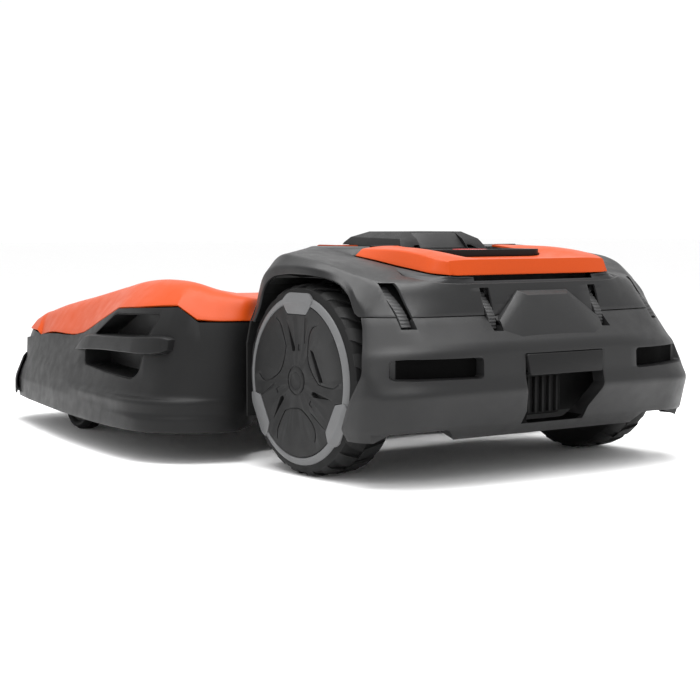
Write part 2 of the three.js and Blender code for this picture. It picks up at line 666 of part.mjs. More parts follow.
// The pocket's outline drawn in towards its middle.
const pocketInset = (margin) => HANDLE_POCKET.map(([x, z]) => {
  const reach = Math.hypot(x - 495, z - 225);
  return [x + ((495 - x) * margin) / reach, z + ((225 - z) * margin) / reach];
});

const deckRows = () => [DECK_EDGE, DECK_MIDDLE, DECK_LOWER, DECK_HEM];

// The left half of the deck's outer wall.
function halfWall(thickness, middle) {
  const ring = shell(deckRows().map(wholeRing), thickness, true);
  return ring.intersect(box([200, middle, 50], [1240, 570, 320]));
}

// The skirt is moulded in two halves that meet on the machine's middle.
function deckSkirt() {
  return cut(halfWall(DECK_WALL, 0.15), sweptY(HANDLE_POCKET, 425, 570));
}

const largest = (solid) => solid.decompose().sort((a, b) => b.volume() - a.volume())[0];

// The deck's inner top plate, which carries the casters and the cutting units.
function deckFloor() {
  const outline = (z, inset) => DECK_EDGE.map(([x, y], i) => {
    const [mx, my] = [DECK_MIDDLE[i][0], DECK_MIDDLE[i][1]];
    const fx = 0.5 * (x + mx);
    const fy = 0.5 * (y + my);
    const shift = fx < 500 ? inset : -inset;
    return [fx + shift * (fx < 330 || fx > 1080 ? 1 : 0), Math.max(0, fy - (fy ? inset : 0)), z];
  });
  const plate = loft([wholeRing(outline(186, 4)), wholeRing(outline(191, 4))]);
  const holes = DISC_PLACES.map((place) => rod("z", place, 96, 170, 200, 20));
  const skirtRoom = bothSides(halfWall(DECK_WALL + 0.5, -0.1));
  const pocketRoom = bothSides(sweptY(HANDLE_POCKET, 425, 570));
  const guides = bothSides(rod("z", GUIDE_PLACE, 8, 100, 188, 16));
  const stemPlace = [CASTER_X + CASTER_TRAIL, CASTER_Y];
  const bosses = bothSides(rod("z", stemPlace, 22, 176, 212, 24));
  const bores = bothSides(rod("z", stemPlace, 11.5, 170, 206, 16));
  const inner = largest(cut(plate, ...holes, skirtRoom, pocketRoom));
  return cut(join(inner, guides, bosses), bores);
}

// Rows run across the hood, from its nose back to its rear wall.
function hoodRows() {
  return [
    [[1122, 0, 215], [1121, 150, 215], [1117, 250, 215], [1104, 340, 214], [1092, 372, 207]],
    [[1115, 0, 232], [1114, 150, 232], [1110, 250, 233], [1098, 345, 236], [1075, 398, 214]],
    [[1070, 0, 250], [1070, 160, 250], [1070, 260, 253], [1065, 360, 257], [1030, 411, 222]],
    [[960, 0, 272], [960, 160, 272], [960, 275, 275], [960, 378, 277], [930, 435, 220]],
    [[790, 0, 302], [790, 160, 302], [790, 290, 305], [790, 395, 305], [700, 471, 238]],
    [[650, 0, 328], [650, 160, 328], [650, 300, 332], [640, 405, 334], [600, 484, 268]],
    [[540, 0, 338], [540, 160, 338], [535, 305, 345], [521, 420, 352], [500, 494, 299]],
    [[450, 0, 340], [450, 160, 340], [448, 305, 348], [433, 420, 359], [400, 498, 305]],
    [[400, 0, 338], [400, 160, 338], [395, 300, 345], [345, 415, 354], [303, 471, 311.5]],
    [[370, 0, 334], [370, 160, 334], [358, 290, 339], [295, 398, 345], [265, 449, 284]],
    [[352, 0, 330], [352, 160, 330], [340, 270, 334], [262, 372, 337], [236, 414, 281]],
    [[338, 0, 326], [338, 200, 326], [326, 250, 330], [250, 345, 332], [225, 374, 280]],
    [[324, 0, 321], [324, 200, 321], [314, 240, 325], [290, 275, 326], [233, 338, 278]],
    [[323, 0, 273], [323, 200, 273], [317, 240, 273], [297, 285, 276], [262, 313, 277.5]],
  ];
}

function noseBumper() {
  const rows = [
    [[1157, 0, 200], [1156, 100, 200], [1149, 225, 200], [1135, 344, 200], [1099, 399, 204.5]],
    [[1126, 0, 214], [1125, 150, 214], [1121, 252, 213.5], [1108, 343, 212], [1096, 374, 208]],
  ];
  return shell(rows.map(wholeBand), 3, false);
}

// The grip bar stands off the skirt and closes into a cup that lines the pocket.
function deckHandle() {
  const cup = cut(sweptY(pocketInset(0.6), 435, 540), sweptY(pocketInset(5), 440, 560));
  const envelope = loft(deckRows().map(wholeRing));
  const grip = loft([
    [[280, 479, 222], [280, 472, 250], [280, 489, 246], [280, 493, 226]],
    [[300, 495, 216], [300, 487, 252], [300, 507, 248], [300, 513, 221]],
    [[330, 506, 214], [330, 499, 250], [330, 517, 246], [330, 523, 219]],
    [[352, 512, 212], [352, 506, 249], [352, 521, 244], [352, 527, 217]],
    [[386, 515, 211], [386, 509.5, 247], [386, 524, 243], [386, 530, 216]],
    [[396, 476, 211], [396, 474, 246], [396, 524, 242], [396, 530, 216]],
    [[520, 474, 208], [520, 472, 243], [520, 515, 239], [520, 521, 213]],
    [[596, 468, 206], [596, 466, 240], [596, 507, 236], [596, 513, 211]],
    [[606, 503, 206], [606, 495, 240], [606, 507, 236], [606, 513, 211]],
    [[650, 497, 204], [650, 489, 236], [650, 500, 232], [650, 506, 208]],
    [[690, 490, 205], [676, 485, 224], [676, 490, 222], [690, 493, 207]],
  ]);
  return join(cup.intersect(envelope), grip);
}

function deckYoke() {
  const plate = box([308, -210, 170], [317, 210, 262]);
  const lug = join(rod("y", DECK_PIVOT, 14, 168, 184, 20), box([300, 168, 240], [316, 184, 306]));
  return cut(join(plate, bothSides(lug)), rod("y", DECK_PIVOT, 7.5, -260, 260, 16));
}

// ---- cutting system -----------------------------------------------------------------------
const CARRIER_Z = 128;
const GUIDE_PLACE = [585, 130];

function cuttingCarrier() {
  const arms = DISC_PLACES.map(([x, y]) => rod("z", [x, y], 60, CARRIER_Z, CARRIER_Z + 8));
  const beam = join(box([560, -330, CARRIER_Z], [625, 330, CARRIER_Z + 8]),
    box([575, -30, CARRIER_Z], [720, 30, CARRIER_Z + 8]));
  const bores = DISC_PLACES.map((place) => rod("z", place, 9, 100, 160, 16));
  const guideBores = bothSides(rod("z", GUIDE_PLACE, 8.6, 100, 160, 16));
  return cut(join(beam, ...arms), ...bores, guideBores);
}

function discMotor(place) {
  return rod("z", place, 46, CARRIER_Z + 8.4, CARRIER_Z + 60);
}

function cuttingDisc([x, y]) {
  const plate = rod("z", [x, y], DISC_R, DISC_Z + 6, DISC_Z + 10, 32);
  const hub = rod("z", [x, y], 34, DISC_Z + 9, DISC_Z + 26, 20);
  const shaft = rod("z", [x, y], 8, DISC_Z + 25, CARRIER_Z + 7.6, 16);
  const skid = rod("z", [x, y], 70, DISC_Z - 4, DISC_Z + 1, 28);
  const neck = rod("z", [x, y], 22, DISC_Z, DISC_Z + 7, 20);
  return join(plate, hub, shaft, skid, neck);
}

// A loose razor blade under the disc's rim, swung out along its radius.
function blade([x, y], index) {
  const turn = 30 + (index * 360) / BLADES_PER_DISC;
  const flat = box([-5, -9, DISC_Z + 3], [40, 9, DISC_Z + 4]);
  const screw = rod("z", [0, 0], 4, DISC_Z + 2.2, DISC_Z + 5.6, 10);
  const radius = DISC_R - 14;
  const angle = THREE.MathUtils.degToRad(turn);
  return join(flat, screw).rotate([0, 0, turn])
    .translate([x + radius * Math.cos(angle), y + radius * Math.sin(angle), 0]);
}

// ---- casters ------------------------------------------------------------------------------
function casterFork(side) {
  const y = side * CASTER_Y;
  const pivot = [CASTER_X + CASTER_TRAIL, y];
  const stem = join(rod("z", pivot, 11, 158, 205, 16), rod("z", pivot, 24, 150, 159, 20));
  const cheek = (inner, outer) => sweptY(
    [[CASTER_X - 14, CASTER_R - 12], [CASTER_X + 14, CASTER_R - 12], [CASTER_X + 50, 140],
      [CASTER_X + 50, 152], [CASTER_X + 2, 152]], inner, outer);
  const crown = box([CASTER_X + 4, y - 33, 141], [CASTER_X + 50, y + 33, 152]);
  const axle = rod("y", [CASTER_X, CASTER_R], 6, y - 33, y + 33, 12);
  return join(stem, crown, cheek(y - 33, y - 27), cheek(y + 27, y + 33), axle);
}

function casterWheel(side) {
  const y = side * CASTER_Y;
  const profile = [[6.6, -24], [22, -24], [22, -16], [48, -16], [50, -23], [60, -23], [CASTER_R, -16],
    [CASTER_R, 16], [60, 23], [50, 23], [48, 16], [22, 16], [22, 24], [6.6, 24]];
  return turnedY(profile.map(([r, v]) => [r, v + y]), CASTER_X, CASTER_R, 32);
}

// ---- assembly -----------------------------------------------------------------------------
function addDriveUnit() {
  const skin = upperBody();
  const frontRoom = box(FRONT_COVER_LOW.map((v, i) => (i < 2 ? v - 0.6 : v)),
    FRONT_COVER_HIGH.map((v, i) => (i < 2 ? v + 0.6 : v)));
  const frontCover = shell(bodyRows().map(wholeRing), SKIN, true).translate([0, 0, 2.5])
    .intersect(box(FRONT_COVER_LOW, FRONT_COVER_HIGH));
  const underConsole = join(box([40, -112, 400], [238, 112, 470]), box([40, -124, 400], [66, 124, 422]));
  add("chassis_tub", chassisTub(), softBlack);
  add("upper_body", cut(skin, frontRoom, underConsole), charcoal);
  add("front_cover", cut(frontCover, underConsole), orange);
  add("rear_bumper", cut(rearBumper(), bumperPlateRoom()), charcoal);
  add("bumper_plate", bumperPlate(), softBlack);
  add("charging_socket", chargingSocket(), softBlack);
  add("console_housing", consoleHousing(), softBlack);
  add("console_panel", consolePanel(), charcoal);
  add("deck_hinge_bracket", hingeBracket(), aluminium);
  for (const [side, place] of [["left", (s) => s], ["right", mirrored]]) {
    add(`${side}_wheel_liner`, place(wheelLiner()), softBlack);
    for (const slot of SLOTS) add(`${side}_${slot.name}_strap`, place(strap(slot)), tyreBlack);
    addWheel(side, place);
  }
}

function bumperPlateRoom() {
  return box([-330, -98, 194.4], [-298.4, 98, 235.2]);
}

function addInnerParts() {
  add("battery_pack", box([-150, -115, 99.4], [70, 115, 190]), batteryGrey);
  add("control_box", box([90, -120, 99.4], [205, 120, 165]), boardGreen);
  add("inner_lid", innerLid(), softBlack);
}

function addHatchParts() {
  add("hatch_cover", hatchCover(), orange);
  add("stop_button", pushButton(STOP_PLACE, 34, 18, 416.6, 420.4, 396), red);
  for (const [name, place] of Object.entries(KEY_PLACES)) {
    add(`${name}_button`, pushButton(place, 11, 7, 387, 391, 374), keyGrey);
  }
}

function addDeck() {
  add("deck_yoke", deckYoke(), aluminium);
  add("left_deck_skirt", deckSkirt(), charcoal);
  add("right_deck_skirt", mirrored(deckSkirt()), charcoal);
  add("deck_floor", deckFloor(), charcoal);
  add("deck_hood", shell(hoodRows().map(wholeBand), 4, false), orange);
  add("nose_bumper", noseBumper(), softBlack);
  add("left_deck_handle", deckHandle(), softBlack);
  add("right_deck_handle", mirrored(deckHandle()), softBlack);
  add("cutting_carrier", cuttingCarrier(), aluminium);
  DISC_PLACES.forEach((place, d) => {
    const name = ["left", "middle", "right"][d];
    add(`${name}_disc_motor`, discMotor(place), motorBlack);
    add(`${name}_cutting_disc`, cuttingDisc(place), softBlack);
    for (let b = 0; b < BLADES_PER_DISC; b++) add(`${name}_blade_${b + 1}`, blade(place, b), steel);
  });
  for (const [side, sign] of [["left", 1], ["right", -1]]) {
    add(`${side}_caster_fork`, casterFork(sign), aluminium);
    add(`${side}_caster_wheel`, casterWheel(sign), tyreBlack);
  }
}

addDriveUnit();
addInnerParts();
addHatchParts();
addDeck();

export default root;
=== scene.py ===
"""Robotic lawn mower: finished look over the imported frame. Cages are in millimetres from the drive axle."""
import math

import bmesh
import bpy
import numpy as np
from mathutils import Matrix, Vector
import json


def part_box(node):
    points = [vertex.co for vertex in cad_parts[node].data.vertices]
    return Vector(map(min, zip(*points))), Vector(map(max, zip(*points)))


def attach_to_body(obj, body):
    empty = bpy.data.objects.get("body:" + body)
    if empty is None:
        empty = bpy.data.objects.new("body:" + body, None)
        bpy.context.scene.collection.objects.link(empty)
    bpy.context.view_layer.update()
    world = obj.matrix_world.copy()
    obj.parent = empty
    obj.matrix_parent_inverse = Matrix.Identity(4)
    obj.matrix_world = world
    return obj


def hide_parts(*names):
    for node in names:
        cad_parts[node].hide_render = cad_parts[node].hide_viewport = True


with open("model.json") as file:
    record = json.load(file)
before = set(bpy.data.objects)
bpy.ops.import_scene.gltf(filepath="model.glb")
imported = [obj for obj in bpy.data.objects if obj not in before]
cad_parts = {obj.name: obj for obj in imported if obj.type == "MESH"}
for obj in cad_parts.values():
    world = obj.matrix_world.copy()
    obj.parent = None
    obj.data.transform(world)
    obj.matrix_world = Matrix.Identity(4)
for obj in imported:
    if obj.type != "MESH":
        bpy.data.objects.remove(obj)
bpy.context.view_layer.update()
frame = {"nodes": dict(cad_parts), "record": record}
tyre_low, tyre_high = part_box("left_tyre")
AXLE = (tyre_low[0] + tyre_high[0]) / 2
WHEEL_R = 180.0
WHEEL_TURNS = (0, 120, 240)
VIEW_YAW, VIEW_PITCH = math.radians(36.44), math.radians(4.20)
CAMERA_PLACE = (AXLE - 2.5866, 2.1817, 0.4772)
FLOOR_HALF = 30.0


# ---- camera, light, floor
def camera():
    data = bpy.data.cameras.new("camera")
    data.sensor_width = 36.0
    data.lens = 87.24
    data.shift_y = -0.0074
    obj = linked("camera", data)
    reach = math.cos(VIEW_PITCH)
    view = Vector((math.cos(VIEW_YAW) * reach, -math.sin(VIEW_YAW) * reach, -math.sin(VIEW_PITCH)))
    obj.location = CAMERA_PLACE
    obj.rotation_euler = view.to_track_quat("-Z", "Y").to_euler()
    bpy.context.scene.camera = obj


def area_light(name, place, target, size, watts):
    data = bpy.data.lights.new(name, "AREA")
    data.energy = watts
    data.size = size
    obj = linked(name, data)
    obj.location = place
    obj.rotation_euler = (Vector(target) - Vector(place)).to_track_quat("-Z", "Y").to_euler()


def studio():
    scene = bpy.context.scene
    scene.view_settings.view_transform = "Standard"
    world = bpy.data.worlds.new("studio")
    scene.world = world
    world.use_nodes = True
    back = world.node_tree.nodes["Background"]
    back.inputs["Color"].default_value = (1.0, 1.0, 1.0, 1.0)
    back.inputs["Strength"].default_value = 1.02
    area_light("overhead", (-0.35, 0.25, 2.9), (0.0, 0.0, 0.0), 2.8, 165)
    area_light("rear_left", (-2.6, 2.6, 2.6), (-0.3, 0.0, 0.2), 1.2, 14)
    mesh = bpy.data.meshes.new("floor")
    corners = [(x * FLOOR_HALF, y * FLOOR_HALF, 0) for x, y in ((-1, -1), (1, -1), (1, 1), (-1, 1))]
    mesh.from_pydata(corners, [], [(0, 1, 2, 3)])
    floor = linked("floor", mesh)
    floor.data.materials.append(plastic("floor_paper", (0.96, 0.96, 0.96), 0.9, 30, 0.02, 0.0, spread=0.01))


# ---- materials
def plastic(name, rgb, rough, grain, bump, wear, metal=0.0, coat=0.0, spread=0.06, specular=0.5):
    """A moulded or metal surface: fine grain, slow colour and roughness drift, paler worn edges."""
    mat = bpy.data.materials.new(name)
    mat.use_nodes = True
    nodes, links = mat.node_tree.nodes, mat.node_tree.links
    shader = nodes["Principled BSDF"]
    shader.inputs["Metallic"].default_value = metal
    shader.inputs["Coat Weight"].default_value = coat
    shader.inputs["Coat Roughness"].default_value = 0.15
    shader.inputs["Specular IOR Level"].default_value = specular
    place = nodes.new("ShaderNodeTexCoord")

    def noise(scale, detail):
        node = nodes.new("ShaderNodeTexNoise")
        node.inputs["Scale"].default_value = scale
        node.inputs["Detail"].default_value = detail
        links.new(place.outputs["Object"], node.inputs["Vector"])
        return node.outputs["Fac"]

    def spread_range(source, low, high, start=0.3, stop=0.7):
        node = nodes.new("ShaderNodeMapRange")
        node.inputs["From Min"].default_value = start
        node.inputs["From Max"].default_value = stop
        node.inputs["To Min"].default_value = low
        node.inputs["To Max"].default_value = high
        links.new(source, node.inputs["Value"])
        return node.outputs["Result"]

    def blend(factor, first, second):
        node = nodes.new("ShaderNodeMix")
        node.data_type = "RGBA"
        links.new(factor, node.inputs[0])
        for socket, value in ((node.inputs[6], first), (node.inputs[7], second)):
            if isinstance(value, tuple):
                socket.default_value = (*value, 1.0)
            else:
                links.new(value, socket)
        return node.outputs[2]

    dark = tuple(c * (1 - spread) for c in rgb)
    pale = tuple(min(1.0, c * (1 + spread)) for c in rgb)
    colour = blend(spread_range(noise(5.0, 3.0), 0.0, 1.0), dark, pale)
    speck = spread_range(noise(grain * 0.55, 1.0), 0.0, 0.5)
    colour = blend(speck, colour, tuple(min(1.0, c * 1.16 + 0.002) for c in rgb))
    if wear > 0:
        edge = nodes.new("ShaderNodeNewGeometry")
        worn = spread_range(edge.outputs["Pointiness"], 0.0, wear, 0.515, 0.60)
        colour = blend(worn, colour, tuple(min(1.0, c * 1.7 + 0.02) for c in rgb))
    links.new(colour, shader.inputs["Base Color"])
    links.new(spread_range(noise(38.0, 4.0), rough - 0.05, rough + 0.06), shader.inputs["Roughness"])
    bumper = nodes.new("ShaderNodeBump")
    bumper.inputs["Strength"].default_value = bump
    bumper.inputs["Distance"].default_value = 0.0006
    links.new(noise(grain, 2.0), bumper.inputs["Height"])
    links.new(bumper.outputs["Normal"], shader.inputs["Normal"])
    return mat


CASING = plastic("charcoal_plastic", (0.0098, 0.0098, 0.0101), 0.42, 1500, 0.22, 0.35, specular=0.26)
DECK_LOOK = plastic("deck_plastic", (0.0072, 0.0072, 0.0074), 0.44, 1500, 0.18, 0.18, specular=0.17)
SOFT = plastic("soft_black_plastic", (0.0062, 0.0062, 0.0064), 0.42, 1700, 0.25, 0.30, specular=0.16)
DARK = plastic("deep_black_plastic", (0.005, 0.005, 0.005), 0.7, 1500, 0.25, 0.20, specular=0.2)
ORANGE = plastic("orange_gloss", (0.37, 0.043, 0.003), 0.40, 1300, 0.04, 0.06, spread=0.03, specular=0.15)
# painted shade: a near-black, almost matt look laid on the recess walls of the rear bumper in place of the
# shade that falls there
HOLLOW_SHADE = plastic("painted_hollow_shade", (0.0018, 0.0018, 0.0018), 0.9, 1500, 0.15, 0.10, specular=0.04)
TYRE = plastic("tyre_rubber", (0.0035, 0.0035, 0.0036), 0.60, 900, 0.45, 0.35, specular=0.16)
RUBBER = plastic("strap_rubber", (0.014, 0.014, 0.0145), 0.60, 1100, 0.35, 0.40)
RING = plastic("ring_grey_plastic", (0.098, 0.099, 0.101), 0.50, 1500, 0.18, 0.18, specular=0.3)
COVER = plastic("wheel_cover_plastic", (0.0080, 0.0080, 0.0082), 0.46, 1500, 0.22, 0.30, specular=0.17)
LEDGE = plastic("ledge_plastic", (0.018, 0.018, 0.019), 0.40, 1500, 0.08, 0.20, specular=0.22)
STEEL = plastic("brushed_steel", (0.55, 0.55, 0.56), 0.30, 1200, 0.12, 0.20, metal=1.0)
ALUMINIUM = plastic("cast_aluminium", (0.42, 0.43, 0.44), 0.42, 700, 0.30, 0.25, metal=1.0)
MOTOR = plastic("motor_paint", (0.018, 0.018, 0.022), 0.45, 1200, 0.20, 0.35, metal=0.3)
BATTERY = plastic("battery_case", (0.070, 0.075, 0.082), 0.60, 1300, 0.30, 0.20)
BOARD = plastic("board_lacquer", (0.020, 0.095, 0.050), 0.45, 900, 0.30, 0.10)
RED = plastic("signal_red", (0.50, 0.012, 0.010), 0.36, 1300, 0.06, 0.12, coat=0.3)
KEY = plastic("key_grey", (0.24, 0.24, 0.25), 0.50, 1300, 0.18, 0.15)

SLOT_LOOKS = {
    "charcoal_casing": CASING, "soft_black": SOFT, "orange_cover": ORANGE, "tyre_rubber": TYRE,
    "ring_grey": RING, "wheel_cover": COVER, "steel": STEEL, "aluminium": ALUMINIUM,
    "motor_black": MOTOR, "battery_grey": BATTERY, "board_green": BOARD, "signal_red": RED,
    "key_grey": KEY,
}


def dress_cad_nodes():
    slots = {part["node"]: part["material_slot"] for part in frame["record"]["subparts"]}
    for name, obj in frame["nodes"].items():
        obj.data.materials.clear()
        obj.data.materials.append(SLOT_LOOKS[slots[name]])


# ---- mesh helpers
def to_frame(points):
    points = np.asarray(points, float).reshape(-1, 3) / 1000.0
    points[:, 0] += AXLE
    return points


def new_object(name, points, faces, look, smooth_angle=38.0):
    mesh = bpy.data.meshes.new(name)
    mesh.from_pydata([tuple(p) for p in to_frame(points)], [], [tuple(int(i) for i in f) for f in faces])
    work = bmesh.new()
    work.from_mesh(mesh)
    bmesh.ops.remove_doubles(work, verts=work.verts, dist=1e-6)
    bmesh.ops.recalc_face_normals(work, faces=work.faces)
    work.to_mesh(mesh)
    work.free()
    mesh.materials.append(look)
    obj = linked(name, mesh)
    shade(obj, smooth_angle)
    return obj


def shade(obj, angle=38.0):
    obj.data.polygons.foreach_set("use_smooth", [True] * len(obj.data.polygons))
    obj.data.set_sharp_from_angle(angle=math.radians(angle))
    obj.data.update()


def settle(obj):
    """Turns the object's modifiers into its mesh."""
    graph = bpy.context.evaluated_depsgraph_get()
    mesh = bpy.data.meshes.new_from_object(obj.evaluated_get(graph))
    obj.modifiers.clear()
    old = obj.data
    obj.data = mesh
    bpy.data.meshes.remove(old)


def carve(obj, *tools, operation="DIFFERENCE"):
    for tool in tools:
        mod = obj.modifiers.new("carve", "BOOLEAN")
        mod.object = tool
        mod.operation = operation
        mod.solver = "MANIFOLD"
    settle(obj)
    for tool in tools:
        bpy.data.objects.remove(tool)


def soften(obj, width, segments=2, angle=32.0, smooth_angle=40.0):
    mod = obj.modifiers.new("soften", "BEVEL")
    mod.width = width / 1000.0
    mod.segments = segments
    mod.limit_method = "ANGLE"
    mod.angle_limit = math.radians(angle)
    mod.miter_outer = "MITER_ARC"
    mod.use_clamp_overlap = True
    settle(obj)
    shade(obj, smooth_angle)


def attach(obj, body, slot, *nodes):
    obj.name = obj.name.split(".")[0]
    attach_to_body(obj, body)
    if nodes:
        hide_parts(*nodes)


def attach_sides(obj, body, slot, node=None):
    """Attaches a left piece and its mirrored copy; a brace pair in body or node stands for the side."""
    for side, piece in (("left", obj), ("right", flipped(obj, obj.name.replace("left_", "right_")))):
        attach(piece, body.format(side), slot, *([node.format(side)] if node else []))


def linked(name, data):
    obj = bpy.data.objects.new(name, data)
    bpy.context.collection.objects.link(obj)
    return obj


def flipped(obj, name):
    """A copy mirrored across the machine's middle."""
    mesh = obj.data.copy()
    mesh.name = name
    mesh.transform(Matrix.Scale(-1, 4, (0, 1, 0)))
    mesh.flip_normals()
    return linked(name, mesh)


def both(tool):
    return [tool, flipped(tool, "mirror_tool")]


def level(z, places):
    """Points at one height."""
    return [(x, y, z) for x, y in places]


def mirrored(half):
    """The right side's points of a left half row, in reverse; points on the middle stay single."""
    return [(x, -y, z) for x, y, z in reversed(half) if y > 0.01]


def closed_row(half):
    """A loop from its left half, and where each half index lands on both sides."""
    full = half + mirrored(half)
    return np.array(full, float), lambda i: {i, (len(full) - i) % len(full)}


def open_row(half, per):
    """A smooth open line from its left half."""
    return run(np.array(mirrored(half) + half, float), per, False)


def mirrored_columns(rows):
    """Rows of left-side points, outermost last, read as columns from the left edge to the right."""
    last = len(rows[0]) - 1
    left = [[row[k] for row in rows] for k in range(last, -1, -1)]
    right = [[(row[k][0], -row[k][1], row[k][2]) for row in rows] for k in range(1, last + 1)]
    return [np.array(column, float) for column in left + right]


def run(points, per, closed, corners=()):
    """A smooth line through the points, straight into each corner."""
    count = len(points)
    spans = count if closed else count - 1
    corners = set(corners) | (set() if closed else {0, count - 1})
    lengths = [max(1e-6, np.linalg.norm(points[(i + 1) % count] - points[i])) for i in range(count)]

    def slope(i, leaving):
        if i in corners:
            j = i if leaving else i - 1
            return (points[(j + 1) % count] - points[j]) / lengths[j]
        before = (points[i] - points[i - 1]) / lengths[i - 1]
        after = (points[(i + 1) % count] - points[i]) / lengths[i]
        return (before * lengths[i] + after * lengths[i - 1]) / (lengths[i] + lengths[i - 1])

    out = []
    for i in range(spans):
        j = (i + 1) % count
        a, b, d = points[i], points[j], lengths[i]
        m, n = slope(i, True) * d, slope(j, False) * d
        for t in np.arange(per) / per:
            out.append((2 * t**3 - 3 * t**2 + 1) * a + (t**3 - 2 * t**2 + t) * m
                       + (3 * t**2 - 2 * t**3) * b + (t**3 - t**2) * n)
    if not closed:
        out.append(points[-1])
    return np.array(out)


def rounded_stack(rows, fillets, steps=4, fills=2, bulges=None):
    """Joins dense rows by a section whose inner corners are rounded, row by row."""
    count = len(rows)
    bulges = bulges or [0.0] * (count - 1)
    inner = {}
    for i in range(1, count - 1):
        a, b = rows[i - 1] - rows[i], rows[i + 1] - rows[i]
        la = np.maximum(np.linalg.norm(a, axis=1, keepdims=True), 1e-6)
        lb = np.maximum(np.linalg.norm(b, axis=1, keepdims=True), 1e-6)
        reach = np.minimum(np.minimum(fillets[i], 0.46 * la), 0.46 * lb)
        start, stop = rows[i] + a / la * reach, rows[i] + b / lb * reach
        ts = np.linspace(0, 1, steps + 1)
        inner[i] = [(1 - t) ** 2 * start + 2 * t * (1 - t) * rows[i] + t * t * stop for t in ts]
    out = [rows[0]]
    for i in range(count - 1):
        start = out[-1]
        stop = inner[i + 1][0] if i + 1 in inner else rows[i + 1]
        along = np.roll(start, -1, axis=0) - np.roll(start, 1, axis=0)
        push = np.cross(stop - start, along)
        push /= np.maximum(np.linalg.norm(push, axis=1, keepdims=True), 1e-6)
        for k in range(1, fills + 1):
            t = k / (fills + 1)
            out.append(start + (stop - start) * t + push * bulges[i] * 4 * t * (1 - t))
        out.extend(inner.get(i + 1, [rows[-1]]))
    return np.array(out)


def walled(name, grid, thickness, closed, look, side=1.0):
    """A closed solid of even wall behind a grid of points; side picks which way is in."""
    rows, cols = grid.shape[:2]
    if closed:
        along = np.roll(grid, -1, axis=1) - np.roll(grid, 1, axis=1)
    else:
        along = np.gradient(grid, axis=1)
    up = np.gradient(grid, axis=0)
    normal = np.cross(up, along)
    normal /= np.maximum(np.linalg.norm(normal, axis=2, keepdims=True), 1e-9)
    depth = thickness(grid) if callable(thickness) else thickness
    back = grid + side * normal * depth
    points = np.concatenate([grid.reshape(-1, 3), back.reshape(-1, 3)])
    size = rows * cols
    spans = cols if closed else cols - 1
    faces = []
    for r in range(rows - 1):
        for c in range(spans):
            d = (c + 1) % cols
            quad = (r * cols + c, r * cols + d, (r + 1) * cols + d, (r + 1) * cols + c)
            faces.append(quad)
            faces.append(tuple(size + q for q in reversed(quad)))
    for r in (0, rows - 1):
        for c in range(spans):
            d = (c + 1) % cols
            faces.append((r * cols + c, r * cols + d, size + r * cols + d, size + r * cols + c))
    if not closed:
        for c in (0, cols - 1):
            for r in range(rows - 1):
                low, high = r * cols + c, (r + 1) * cols + c
                faces.append((low, high, size + high, size + low))
    return new_object(name, points, faces, look)


def underside(grid):
    """The side value that makes walled thicken an open grid downwards."""
    normal = np.cross(np.gradient(grid, axis=0), np.gradient(grid, axis=1))
    return -1.0 if normal[:, :, 2].mean() > 0 else 1.0


def stacked(name, rings, look, smooth_angle=38.0):
    """A closed solid through rings of equal count, with flat ends."""
    rings = [np.asarray(r, float) for r in rings]
    count = len(rings[0])
    faces = []
    for r in range(len(rings) - 1):
        for c in range(count):
            d = (c + 1) % count
            faces.append((r * count + c, r * count + d, (r + 1) * count + d, (r + 1) * count + c))
    last = (len(rings) - 1) * count
    faces.append(tuple(range(count)))
    faces.append(tuple(range(last, last + count)))
    return new_object(name, np.concatenate(rings), faces, look, smooth_angle)


def round_outline(outline, radius, steps=4):
    """A 2-D outline with its corners rounded; radius is one number or one per corner."""
    count = len(outline)
    radii = [radius] * count if np.isscalar(radius) else radius
    out = []
    for i, p in enumerate(outline):
        p = np.array(p, float)
        a = np.array(outline[i - 1], float) - p
        b = np.array(outline[(i + 1) % count], float) - p
        la, lb = np.linalg.norm(a), np.linalg.norm(b)
        reach = min(radii[i], 0.45 * la, 0.45 * lb)
        start, stop = p + a / la * reach, p + b / lb * reach
        for t in np.linspace(0, 1, steps + 1):
            out.append(tuple((1 - t) ** 2 * start + 2 * t * (1 - t) * p + t * t * stop))
    return out


def swept(name, outline, axis, low, high, look=DARK):
    """A 2-D outline swept along an axis; the outline's own axes follow in X, Y, Z order."""
    def at(p, v):
        return {"x": (v, p[0], p[1]), "y": (p[0], v, p[1]), "z": (p[0], p[1], v)}[axis]
    return stacked(name, [[at(p, low) for p in outline], [at(p, high) for p in outline]], look)


def revolved(name, profile, axis, centre, look, steps=96, smooth_angle=38.0):
    """A closed profile of (radius, place) pairs turned about a line along "y" or "z"."""
    rings = []
    for k in range(steps):
        a = 2 * math.pi * k / steps
        c, s = math.cos(a), math.sin(a)
        if axis == "y":
            rings.append([(centre[0] + r * c, v, centre[1] + r * s) for r, v in profile])
        else:
            rings.append([(centre[0] + r * c, centre[1] + r * s, v) for r, v in profile])
    count = len(profile)
    faces = []
    for k in range(steps):
        n = (k + 1) % steps
        for c in range(count):
            d = (c + 1) % count
            faces.append((k * count + c, k * count + d, n * count + d, n * count + c))
    return new_object(name, np.array(rings).reshape(-1, 3), faces, look, smooth_angle)


def rod(name, radius, low, high, axis, centre, steps):
    profile = [(0.01, low), (radius, low), (radius, high), (0.01, high)]
    return revolved(name, profile, axis, centre, DARK, steps)


def block(low, high, name="block", look=DARK, radius=0.0):
    outline = [(low[0], low[1]), (high[0], low[1]), (high[0], high[1]), (low[0], high[1])]
    if radius:
        outline = round_outline(outline, radius)
    return swept(name, outline, "z", low[2], high[2], look)


def tapered(name, low, high):
    """A solid between two level rectangles, each given as (x0, x1, y0, y1, z)."""
    ends = [[(x0, y0, z), (x1, y0, z), (x1, y1, z), (x0, y1, z)] for x0, x1, y0, y1, z in (low, high)]
    return stacked(name, ends, DARK)


